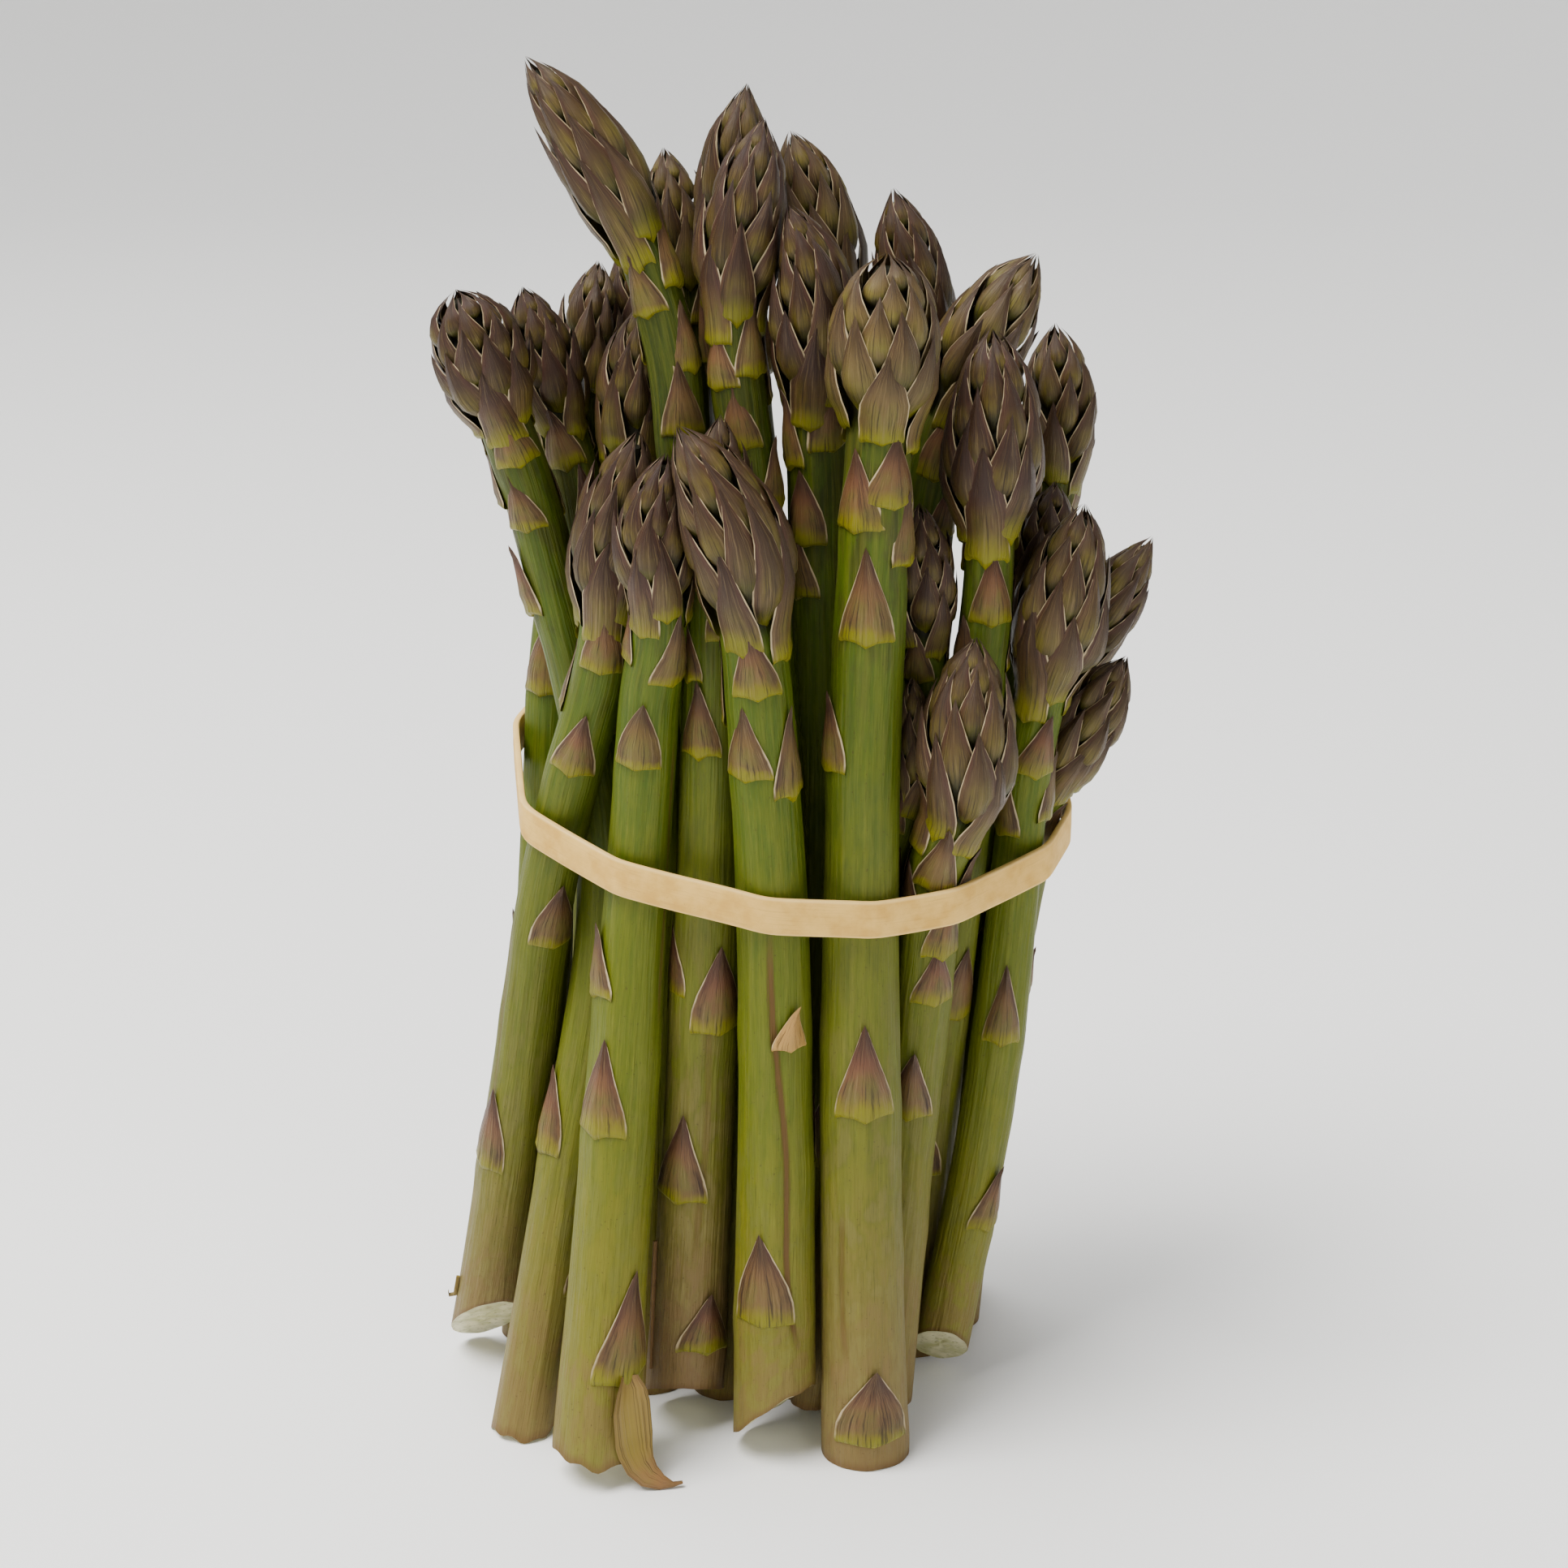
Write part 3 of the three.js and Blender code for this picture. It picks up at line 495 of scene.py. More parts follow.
sh.surface(principled, {
    "Base Color": colour, "Roughness": sh.span(streak, 0.3, 0.7, 0.30, 0.56), "Specular IOR Level": 0.24,
}, sh.plus(streak, sh.times(grain["Fine"], 0.5)), 0.7)

# The cut flesh: pale green-white, wetter, with the dots of the strands that run up the stalk.
flesh, sh, principled = new_material("asparagus_flesh")
place = sh.node("ShaderNodeTexCoord").outputs["Object"]
strands = sh.fill(sh.node("ShaderNodeTexVoronoi"), {"Vector": place, "Scale": 900.0})
dots = sh.span(strands["Distance"], 0.12, 0.34)
cloud = sh.noise(place, 320.0, 4.0)
colour = sh.mix(sh.span(cloud, 0.35, 0.65), linear(204, 198, 158), linear(166, 164, 112))
colour = sh.over(colour, sh.span(dots, 1.0, 0.0, 0.0, 0.5), 104, 104, 52)
colour = sh.over(colour, sh.span(cloud, 0.64, 0.76, 0.0, 0.7), 112, 82, 46)
sh.surface(principled, {
    "Base Color": colour, "Roughness": 0.42, "Subsurface Weight": 0.1,
    "Subsurface Radius": (0.001, 0.0012, 0.0006),
}, sh.plus(cloud, dots), 0.5)

# ------------------------------------------------------------------------------------------------
# The leaves and scales: papery leaves that clasp the stalk, and the scales of its bud. Each is a thin closed
# shell with a keel, a belly and a drawn-out point. Geometry Nodes lay three sorts of either out flat, turn by
# distance by height, and each spear's sheet of them is then rolled round its stalk.
# ------------------------------------------------------------------------------------------------
BAND_WIDTH = 6.35
GOLDEN_TURN = 137.5       # degrees from one leaf or scale to the next
GOLDEN = math.radians(GOLDEN_TURN)
LEAF_SPREAD = math.radians(48)                      # half of the angle that a leaf wraps
LEAF_COUNT = 4            # leaves below the bud of a stalk that has none listed
FIRST_LEAF, LEAF_GAP, GAP_GROWTH = 6, 10.5, 1.42    # from the neck down, then from leaf to leaf
LOWEST_LEAF = 4           # least height of a leaf's base over the foot
LOW_LEAVES, LOW_WANDER = (80, 51, 22), 6            # the small dry leaves' heights, and how far they stray
BAND_MARGIN = 0.02        # the share of a stalk's length that they keep below the band
HAND_LEAVES = {           # height of the base along the axis, the way it faces in degrees, length
    1: [(200, -118, 11), (190, -40, 12), (180, -78, 12), (166, 90, 12), (150, -135, 12)],
    9: [(188, -135, 10), (178, -98, 12), (168, -25, 12), (158, 90, 12)],
    12: [(171, -62, 12), (167, -125, 13), (149, -97, 15), (156, 60, 13), (127, -160, 13), (67, -85, 16),
         (84, 120, 15), (5, -80, 15), (40, 70, 16)],
    14: [(171, -92, 12), (161, -50, 12), (151, -140, 12), (140, 80, 12)],
    16: [(152, -82, 12), (141, -145, 12), (130, 60, 12), (78, -60, 15), (44, -110, 14)],
    19: [(122, -75, 11), (71, -88, 15), (34, -48, 14), (56, 90, 13)],
    22: [(85, -70, 12), (61, -100, 14), (74, 80, 12), (36, 70, 13)],
    24: [(146, -90, 12), (127, -98, 12), (136, 60, 12), (93, -62, 14), (44, -140, 16), (76, 100, 14)],
    25: [(141, -90, 14), (127, -120, 13), (133, 60, 13), (27, -107, 17), (84, 100, 14), (56, 30, 15)],
    26: [(146, -60, 12), (127, -112, 13), (137, 80, 12), (78, -62, 15), (84, -168, 13), (46, -117, 18),
         (11, -60, 17)],
    27: [(142, -50, 12), (126, -105, 12), (134, 90, 12), (86, -165, 14), (59, -125, 18), (15, -52, 20),
         (72, 60, 14)],
}


def grown_leaves(s, neck):
    """Leaves set by rule, close together under the bud and further apart towards the foot."""
    rows = []
    for k in range(LEAF_COUNT):
        down = FIRST_LEAF + LEAF_GAP * k ** GAP_GROWTH * lerp(0.9, 1.1, draw(s.number, 20 + k))
        thickness = 2 * float(radius_at(s, (neck - down) / s.length))
        facing = 360 * draw(s.number, 2) + GOLDEN_TURN * k
        rows.append((neck - down, facing, thickness * lerp(1.3, 1.55, draw(s.number, 40 + k))))
    return rows


def leaf_places(s):
    """Base, turn, length and half-spread of each leaf on a stalk; none lies under the band."""
    crossing = band_crossing(s) * s.length
    clear = BAND_WIDTH / 2 + s.radii[0]
    places = []
    rows = HAND_LEAVES.get(s.number) or grown_leaves(s, s.length * s.start)
    for k, (base, facing, length) in enumerate(rows):
        middle = base + length / 2
        if abs(middle - crossing) < length / 2 + clear:
            base = crossing + clear if middle > crossing else crossing - clear - length
        if base > LOWEST_LEAF:
            spread = LEAF_SPREAD * lerp(0.92, 1.08, draw(s.number, 60 + k))
            places.append((base, math.radians(facing), length, spread))
    return places


def low_leaves(s):
    """The small dry leaves low on the stalks that have none listed, clear of the band too."""
    if s.number in HAND_LEAVES:
        return []
    top = (band_crossing(s) - BAND_MARGIN) * s.length - BAND_WIDTH / 2 - s.radii[0]
    places = []
    for k, height in enumerate(LOW_LEAVES):
        length = lerp(12, 16, draw(s.number, 820 + k))
        base = min(top - length, height + lerp(-LOW_WANDER, LOW_WANDER, draw(s.number, 800 + k)))
        turn = math.radians(360 * draw(s.number, 810)) + GOLDEN * k
        places.append((base, turn, length, LEAF_SPREAD * lerp(0.85, 1.05, draw(s.number, 830 + k))))
    return places


def give_vectors(mesh, name, columns):
    """Gives every point of a mesh a vector, from three columns of numbers."""
    values = np.column_stack(columns).astype("f").ravel()
    mesh.attributes.new(name, "FLOAT_VECTOR", "POINT").data.foreach_set("vector", values)


BLADE_COLUMNS = (-1, -.8, -.36, 0, .36, .8, 1)       # from edge to edge
KEEL, KEEL_WIDTH = 0.18, 0.2                        # the ridge down a blade's middle
SPUR_WIDTH, EDGE_LOBES, ROOT_TO = 0.28, 0.4, 0.2    # the root hangs down in the middle and at its edges


def blade_mesh(name, up, outline, heights, edge_drop, thin, spur, curl):
    """A blade from root (y 0) to point (y 1), x from -1 to 1 at its widest, z in millimetres."""
    up = np.array(up)
    wide = np.interp(up, *zip(*outline))
    tall = np.interp(up, *zip(*heights))
    drop = np.interp(up, *zip(*edge_drop))
    rows, cols = len(up) - 1, len(BLADE_COLUMNS) - 1
    verts, marks = [], []
    for i in range(rows):
        for x in BLADE_COLUMNS:
            hang = math.exp(-(x / SPUR_WIDTH) ** 2) + EDGE_LOBES * abs(x) ** 6 - 0.2
            y = up[i] - spur * hang * max(0, 1 - up[i] / ROOT_TO)
            keel = KEEL * math.exp(-(x / KEEL_WIDTH) ** 2) * smoothstep(up[i], 0.0, 0.3)
            verts.append((x * wide[i], y, tall[i] - drop[i] * abs(x) ** 2.1 + keel + curl * up[i] ** 3))
            marks.append((up[i], x, 0))
    point = len(verts)
    verts.append((0, 1, tall[-1] + curl))
    marks.append((1, 0, 0))
    faces = []
    n = cols + 1
    for i in range(rows - 1):
        for j in range(cols):
            a = i * n + j
            faces.append((a, a + 1, a + 1 + n, a + n))
    faces += [((rows - 1) * n + j, (rows - 1) * n + j + 1, point) for j in range(cols)]
    spine = len(verts)                    # the middle of the underside, one point a row
    for i in range(rows):
        verts.append((0, up[i], verts[i * n + cols // 2][2] - thin * (1.2 - up[i])))
        marks.append((up[i], 0, 0))
    for i in range(rows - 1):
        a, b, m = i * n, i * n + cols, spine + i
        faces += [(a, a + n, m + 1, m), (m, m + 1, b + n, b)]
    faces += [((rows - 1) * n, point, spine + rows - 1), (spine + rows - 1, point, (rows - 1) * n + cols)]
    faces += [(j + 1, j, spine) for j in range(cols)]
    mesh = bpy.data.meshes.new(name)
    mesh.from_pydata(verts, [], faces)
    give_vectors(mesh, "blade", np.array(marks, float).T)
    return mesh


# each list holds share of the length, then half-width, height over the stalk or the edges' fall below it
LEAF = dict(
    up=[0, .02, .06, .14, .27, .44, .62, .80, .92, 1],
    outline=[(0, .97), (.05, 1), (.12, .99), (.22, .92), (.35, .78), (.5, .59), (.65, .41), (.8, .24),
             (.92, .11), (1, 0)],
    heights=[(0, .1), (.02, .7), (.06, .98), (.12, .9), (.25, 1.05), (.5, .8), (.8, .5), (1, .55)],
    edge_drop=[(0, .0), (.02, .25), (.06, .45), (.25, .65), (.5, .5), (.8, .3), (1, .1)], thin=0.6)
ROUND_LEAF = dict(LEAF, outline=[
    (0, .95), (.08, 1), (.25, .96), (.42, .83), (.6, .59), (.78, .32), (.92, .12), (1, 0)])
SCALE = dict(
    up=[0, .08, .17, .27, .39, .53, .68, .85, 1],
    outline=[(0, .5), (.12, .84), (.26, 1), (.4, .93), (.55, .70), (.7, .45), (.85, .22), (.94, .10), (1, 0)],
    heights=[(0, -1.4), (.06, -.8), (.12, -.3), (.2, .3), (.3, .8), (.42, 1.05), (.65, 1.15), (.85, 1.15),
             (1, 1.2)],
    edge_drop=[(0, .3), (.12, 1.05), (.3, 1.4), (.5, .85), (.7, .45), (.9, .2), (1, .1)], thin=0.5)
templates = bpy.data.collections.new("blades")
for name, mesh in (
    ("a_leaf", blade_mesh("leaf", **LEAF, spur=0.07, curl=0.0)),
    ("b_leaf", blade_mesh("leaf_lifted", **LEAF, spur=0.10, curl=0.5)),
    ("c_leaf", blade_mesh("leaf_round", **ROUND_LEAF, spur=0.05, curl=0.2)),
    ("d_scale", blade_mesh("scale", **SCALE, spur=0.03, curl=0.0)),
    ("e_scale", blade_mesh("scale_lifted", **SCALE, spur=0.03, curl=0.9)),
    ("f_scale", blade_mesh("scale_pressed", **SCALE, spur=0.03, curl=-0.3)),
):
    mesh.materials.append(papery)
    templates.objects.link(bpy.data.objects.new(name, mesh))

tree = bpy.data.node_groups.new("lay blades", "GeometryNodeTree")
for socket, kind in (("Places", "Geometry"), ("Blades", "Collection"), ("Skin", "Material"), ("Seed", "Int"),
                     ("Uneven", "Float")):
    tree.interface.new_socket(name=socket, in_out="INPUT", socket_type="NodeSocket" + kind)
tree.interface.new_socket(name="Sheet", in_out="OUTPUT", socket_type="NodeSocketGeometry")
lay = Shade(tree)
given = lay.node("NodeGroupInput").outputs
blades = lay.fill(lay.node("GeometryNodeCollectionInfo"), {
    "Separate Children": True, "Reset Children": True, "Collection": given["Blades"]})
kind = lay.fill(lay.node("GeometryNodeInputNamedAttribute", data_type="INT"), {"Name": "kind"})
size = lay.fill(lay.node("GeometryNodeInputNamedAttribute", data_type="FLOAT_VECTOR"), {"Name": "size"})
uneven = lay.fill(lay.node("FunctionNodeRandomValue", data_type="FLOAT_VECTOR"), {
    "Seed": given["Seed"], 0: lay.minus(1.0, given["Uneven"]), 1: lay.plus(1.0, given["Uneven"])})
stretch = lay.fill(lay.node("ShaderNodeVectorMath", operation="MULTIPLY"), {0: size[0], 1: uneven[0]})
laid = lay.fill(lay.node("GeometryNodeInstanceOnPoints"), {
    "Pick Instance": True, "Points": given["Places"], "Instance": blades[0], "Instance Index": kind[0],
    "Scale": stretch[0]})
real = lay.fill(lay.node("GeometryNodeRealizeInstances"), {0: laid[0]})
skinned = lay.fill(lay.node("GeometryNodeSetMaterial"), {"Geometry": real[0], "Material": given["Skin"]})
lay.fill(lay.node("NodeGroupOutput"), {0: skinned[0]})
UNEVEN = 0.08             # how much bigger or smaller than its row says a blade may come out


def lay_blades(s, rows):
    """The flat sheet of a spear's blades, one from each row."""
    turn, far, spread, length, rise, kind, own, lean = np.array(rows, float).T
    mesh = bpy.data.meshes.new("places")
    mesh.from_pydata([(a, b, 0) for a, b in zip(turn, far)], [], [])
    give_vectors(mesh, "size", (spread, length, rise))
    mesh.attributes.new("kind", "INT", "POINT").data.foreach_set("value", kind.astype(int))
    give_vectors(mesh, "own", (own, lean, far))
    holder = bpy.data.objects.new("places", mesh)
    bpy.context.scene.collection.objects.link(holder)
    modifier = holder.modifiers.new("lay", "NODES")
    modifier.node_group = tree
    values = {"Blades": templates, "Skin": papery, "Seed": s.number, "Uneven": UNEVEN}
    for item in tree.interface.items_tree:
        if item.in_out == "INPUT" and item.name in values:
            modifier[item.identifier] = values[item.name]
    seen = holder.evaluated_get(bpy.context.evaluated_depsgraph_get())
    sheet = bpy.data.meshes.new_from_object(seen)
    holder.modifiers.remove(modifier)
    bpy.data.objects.remove(holder)
    bpy.data.meshes.remove(mesh)
    return sheet


def read_vectors(mesh, name):
    data = mesh.attributes[name].data
    out = np.empty(len(data) * 3)
    data.foreach_get("vector", out)
    return out.reshape(-1, 3)

# ------------------------------------------------------------------------------------------------
# The spears. Each has a stalk of its own, gently ribbed and swollen under its leaves, closed below by a
# cut end, with its leaves and the scales of its bud rolled on.
# ------------------------------------------------------------------------------------------------
MIDDLE = np.array([0.16, -0.71, 0.0])               # this point of the table is the origin
COLUMNS, ROW_MM = 44, 1.7                           # a stalk's faces: how many round it, and how long
BUD_ROWS = (0, .04, .1, .2, .35, .5, .65, .8, .92)  # where the rows of faces lie along a bud
APEX = 0.985              # the share of the length at which the skin closes under the topmost scales
CUT_REACH = 28.0          # how far above the foot a slanting cut draws the skin along
CUT_RINGS = (0.95, 0.82, 0.6, 0.36, 0.15)           # rings of flesh, as shares of the cut end's rim
TORN, CLEAN = {2: 1.7, 25: 1.0, 27: 2.0}, 0.25      # how ragged the torn ends and the others are
# how mauve and dull a stalk is, and how dark its bud
DULL = {1: 0, 2: .25, 9: .2, 12: .42, 16: .4, 19: .05, 22: .35, 24: .35, 25: .12, 26: .65, 27: .08}
DARK = {1: .72, 2: .95, 3: 1, 4: .7, 5: .85, 8: .75, 9: 1, 11: 1, 12: .22, 14: .4, 15: .7, 16: 1, 17: 1,
        18: 1, 19: .65, 22: .7, 24: .9, 25: .78, 26: .82, 27: 1}
# a dry flap where a leaf broke off: turn, distance, half-spread, length, rise, kind, own, lean
FLAPS = {25: [(-1.19, 79, 0.50, 7.5, 1.2, 1, 1.1, 0.25)]}
# a scar: which way it faces at its top and its foot, their heights along the axis, and how deep it is
SCARS = {25: (-98, -58, 104, 14, 1.0), 12: (-120, -118, 50, 20, .5), 26: (-75, -80, 92, 30, .4)}
LOOSE_SCALES = 8          # scales below a bud, which stand apart and are shaped like leaves
LEAF_LIKE = 5             # the lowest scales of the bud itself that are shaped like leaves too
FEWEST, MOST = 22, 34     # scales on a bud
SHARP_EDGE = math.radians(62)


def leaf_blades(s, leaves):
    """A row for each leaf: turn, distance, half-spread, length, rise, kind, own, lean."""
    rows = []
    for k, (base, facing, length, spread) in enumerate(leaves):
        rise = lerp(0.85, 1.3, draw(s.number, 110 + k))
        lean = lerp(-0.13, 0.13, draw(s.number, 120 + k))
        kind, own = int(3 * draw(s.number, 80 + k)), draw(s.number, 90 + k)
        rows.append((facing, base, spread, length, rise, kind, own, lean))
    return rows


def bud_blades(s, leaves):
    """The bud's scales climb it in a spiral, each a golden turn from the last, smaller towards the tip."""
    bud, neck, belly = s.bud_share * s.length, s.start * s.length, s.radii[2]
    wide = 0.36 * belly + 1.3
    count = int(np.clip(round(17 * belly / wide), FEWEST, MOST))
    rows, spin = [], 2 * math.pi * draw(s.number, 3)
    for k in range(-LOOSE_SCALES, count):
        loose = k < 0
        h = -0.10 + (0.08 * k if loose else 0.92 * (k / (count - 1)) ** 0.92)
        far, turn = neck + h * bud, spin + GOLDEN * k
        if loose and any(abs(far - base) < 9 and math.cos(turn - facing) > 0.2
                         for base, facing, _, _ in leaves):
            continue
        length = bud * (0.40 if loose else lerp(0.56, 0.28, k / count))
        length = min(length * lerp(0.92, 1.1, draw(s.number, 200 + k)), (1.0 - h) * bud)
        local = max(1.2, float(radius_at(s, (far + 0.3 * length) / s.length)))
        spread = min(1.15, wide * (0.92 if loose else lerp(1.0, 0.62, k / count)) / local)
        kind = int(3 * draw(s.number, 300 + k)) + (0 if k < LEAF_LIKE else 3)
        rise, own = lerp(0.85, 1.35, draw(s.number, 600 + k)), draw(s.number, 400 + k)
        rows.append((turn, far, spread, length, rise, kind, own, lerp(-0.2, 0.2, draw(s.number, 500 + k))))
    return rows


def foot_cut(s, points, far, turn, along0, spot0):
    """Slides what lies near the foot along the axis, so that the end lies in the plane of its cut."""
    sx, sy = s.cut
    hover = s.foot[2] + s.radii[0] * math.hypot(sx, sy)
    gap = points[:, 2] - hover - sx * (points[:, 0] - spot0[0]) - sy * (points[:, 1] - spot0[1])
    slide = far - gap / (along0[2] - sx * along0[0] - sy * along0[1])
    torn = TORN.get(s.number, CLEAN)
    slide += torn * (0.5 + 0.28 * np.sin(3 * turn + s.number) + 0.22 * np.sin(8 * turn + 2 * s.number))
    return points + along0 * (slide * np.clip(1 - far / CUT_REACH, 0, 1))[:, None]


def scar_of(s):
    """Where a dry scar runs: its turns at the top and foot, its heights along the axis, and how deep."""
    d = [draw(s.number, 700 + k) for k in range(5)]
    turn, high = 360 * d[0], lerp(60, 150, d[1])
    low = high - lerp(25, 60, d[3])
    return SCARS.get(s.number) or (turn, turn + lerp(-25, 25, d[2]), high, low, 0.7 * d[4])


def scar_at(s, far, turn):
    """How far beside its spear's scar each point lies, whether on the same side, and how deep it is there."""
    top_turn, low_turn, top, low, deep = scar_of(s)
    t = (top - far) / (top - low)
    away = turn - np.radians(lerp(top_turn, low_turn, t) + 4 * np.sin(far * 0.13))
    reach = radius_at(s, far / s.length)
    fade = deep * smoothstep(t, 0, 0.15) * (1 - smoothstep(t, 0.85, 1))
    return np.column_stack([reach * np.sin(away), np.cos(away), fade])


def stalk_grid(s, leaves):
    """Distance, turn and height over the plain stalk of each point of a skin, and its number of rows."""
    neck = s.start * s.length
    rows = max(2, round(neck / ROW_MM))
    far = np.concatenate([np.linspace(0, neck, rows, endpoint=False),
                          neck + np.array(BUD_ROWS) * s.bud_share * s.length])
    turn = np.linspace(0, 2 * math.pi, COLUMNS, endpoint=False)
    F, T = [a.ravel() for a in np.meshgrid(far, turn, indexing="ij")]
    seed = s.number * 1.7
    height = 0.12 * np.sin(2 * T + seed + F * 0.012) + 0.07 * np.sin(5 * T + 2 * seed + F * 0.02)
    height += 0.035 * np.sin(11 * T + 3 * seed + 0.5 * np.sin(F * 0.05)) + 0.08 * np.sin(F * 0.09 + seed)
    for base, facing, length, spread in leaves:
        away = (T - facing + math.pi) % (2 * math.pi) - math.pi
        height += 0.34 * np.exp(-((F - base + 1.0) / 4.5) ** 2) * (0.45 + 0.55 * np.cos(away))
        below = np.clip((base - F) / 3, 0, 1) * np.clip(1 - (base - F) / 34, 0, 1)
        for rib in (-spread, spread):
            height += 0.15 * below * np.exp(-((away - rib * 0.85) / 0.13) ** 2)
    scar = scar_at(s, F, T)
    height -= 0.38 * scar[:, 2] * (scar[:, 1] > 0) * np.exp(-(scar[:, 0] / 0.9) ** 2)
    h = np.clip((F - neck) / (s.bud_share * s.length), 0, 1)
    under_scales = lerp(0.24, 0.36, smoothstep(h, 0.6, 0.95)) * radius_at(s, F / s.length)
    height -= under_scales * smoothstep(h, 0.0, 0.12)
    return F, T, height, len(far)


STRIP_THICK = 0.7
STRIP_RING = ((-1, 0), (-.6, 1), (-.2, 1), (.2, 1), (.6, 1), (1, 0), (.6, -1), (.2, -1), (-.2, -1), (-.6, -1))


def strip_of(path, across, halves, bows):
    """A strip along a path, half as wide at each point as halves says and bowed across by bows."""
    path, across, halves = np.array(path, float), np.array(across, float), np.array(halves, float)
    run = np.gradient(path, axis=0)
    run /= np.linalg.norm(run, axis=1, keepdims=True)
    across -= run * (across * run).sum(1, keepdims=True)
    across /= np.linalg.norm(across, axis=1, keepdims=True)
    up = np.cross(across, run)
    n = len(path)
    verts, marks, faces = [], [], []
    for i in range(n):
        for x, z in STRIP_RING:
            height = STRIP_THICK / 2 * z - bows[i] * x * x
            verts.append(path[i] + across[i] * halves[i] * x + up[i] * height)
            marks.append((i / (n - 1), x))
    m = len(STRIP_RING)
    for i in range(n - 1):
        faces += [(i * m + j, i * m + (j + 1) % m, i * m + m + (j + 1) % m, i * m + m + j) for j in range(m)]
    faces += [tuple(range(m))[::-1], tuple(range(n * m - m, n * m))]
    return np.array(verts), np.array(marks), faces


# What hangs loose near a foot. It is held at points on the skin (distance, degrees round, height over it) and
# runs free from there; then come its half-widths, the way it lies across, its bow and its place on a blade.
PEELINGS = {
    # two wisps at a torn corner, kept inside the bundle's box
    24: dict(held=[(17, -170, .3), (14, -172, .3), (12.5, -175, .3)],
             free=[(-63.9, 2, 13.2), (-64.4, 1, 14.6)], least=(-62.9, -50, 0), lift=0.01,
             halves=[0.3, 0.4, 0.35, 0.3, 0.3], across=[(0.1, -1, 0)] * 5, bows=[0] * 5, up=[0.12] * 5),
    # a fibre that came away down the left side
    26: dict(held=[(36, -158, .55), (29, -155, .55), (22, -152, .55), (15, -148, .55), (11, -146, .55)],
             free=[], halves=[0.3, 0.4, 0.4, 0.4, 0.3], across=[(0.5, -0.8, 0)] * 5, bows=[0] * 5,
             up=[0.4] * 5),
    # a torn leaf, peeled down and curled out over the table
    27: dict(held=[(16.5, -52, .1), (14.3, -52, .8), (11.5, -53, 1.4)],
             free=[(-26.4, -39.6, 9), (-25.9, -40.2, 6.6), (-25.0, -40.8, 4.3), (-23.4, -41.2, 2.4),
                   (-21.2, -41.4, 1.2), (-19.2, -41.4, 0.8), (-17.6, -41.0, 1.0)],
             halves=[1.6, 3.0, 4.0, 3.8, 3.3, 2.8, 2.2, 1.3, 0.5, 0.3],
             across=[(0.75, 0.65, 0)] * 3 + [
                 (0.78, 0.55, 0.1), (0.8, 0.5, 0.2), (0.75, 0.5, 0.4), (0.6, 0.5, 0.6), (0.4, 0.5, 0.7),
                 (0.3, 0.5, 0.7), (0.2, 0.5, 0.7)],
             bows=[1.4, 1.5, 1.2, 0.9, 0.6, 0.4, 0.2, 0.1, 0, 0],
             up=[.3, .22, .18, .15, .16, .24, .4, .6, .8, .9]),
}
DRY = 1.02                # the "own" of a blade that has dried out


def peeling(s):
    """A spear's loose strip: points, blade marks and faces."""
    form = PEELINGS[s.number]
    path = [on_spear(s, np.array([float(far)]), np.radians([float(turn)]), np.array([float(height)]))[0]
            for far, turn, height in form["held"]]
    path = np.array(path + form["free"], float)
    if "least" in form:
        path = np.maximum(path, form["least"])
        path[:, 2] += form["lift"] * np.arange(len(path))
    verts, marks, faces = strip_of(path, form["across"], form["halves"], form["bows"])
    up = np.interp(marks[:, 0], np.linspace(0, 1, len(path)), form["up"])
    return verts, np.column_stack([up, marks[:, 1] * 0.9, np.full(len(verts), DRY)]), faces


def cut_rings(s, rim, turn, along):
    """The flesh of the cut end: rings that draw in from its rim, a little rough, and the middle point."""
    centre = rim.mean(0)
    rings = []
    for kept in CUT_RINGS:
        rough = 0.30 * (1 - kept) + 0.25 * np.sin(turn * 5 + kept * 20 + s.number) * (1 - kept)
        rings.append(centre + (rim - centre) * kept + along * (rough + 0.12)[:, None])
    return [*rings, (centre + along * 0.40)[None]]


def stalk_faces(rows):
    """The faces of a skin up to its apex, and those of the flesh that closes its cut end."""
    n, top = COLUMNS, rows * COLUMNS
    grid = np.arange(top).reshape(rows, n)
    turned = np.roll(grid, -1, 1)
    sides = np.stack([grid[:-1], turned[:-1], turned[1:], grid[1:]], -1).reshape(-1, 4).tolist()
    sides += [(int(a), int(b), top) for a, b in zip(grid[-1], turned[-1])]
    outer, cut = list(range(n)), []
    for ring in range(len(CUT_RINGS)):
        inner = [top + 1 + ring * n + j for j in range(n)]
        cut += [(outer[(j + 1) % n], outer[j], inner[j], inner[(j + 1) % n]) for j in range(n)]
        outer = inner
    middle = top + 1 + len(CUT_RINGS) * n
    cut += [(outer[(j + 1) % n], outer[j], middle) for j in range(n)]
    return sides, cut


def stalk_part(s, leaves, along, spot):
    """The stalk: points, blade marks (none), turns, distances, and its faces with their materials."""
    far, turn, height, rows = stalk_grid(s, leaves)
    body = foot_cut(s, on_spear(s, far, turn, height), far, turn, along, spot)
    apex = axis_frame(s, np.full(1, APEX))[0]
    rim_turn = turn[:COLUMNS]
    points = np.vstack([body, apex, *cut_rings(s, body[:COLUMNS], rim_turn, along)])
    sides, cut = stalk_faces(rows)
    turns = np.concatenate([turn, [0], np.tile(rim_turn, len(CUT_RINGS)), [0]])
    fars = np.concatenate([far, [s.length], np.zeros(len(CUT_RINGS) * COLUMNS + 1)])
    return points, np.zeros((len(points), 3)), turns, fars, [(sides, skin), (cut, flesh)]


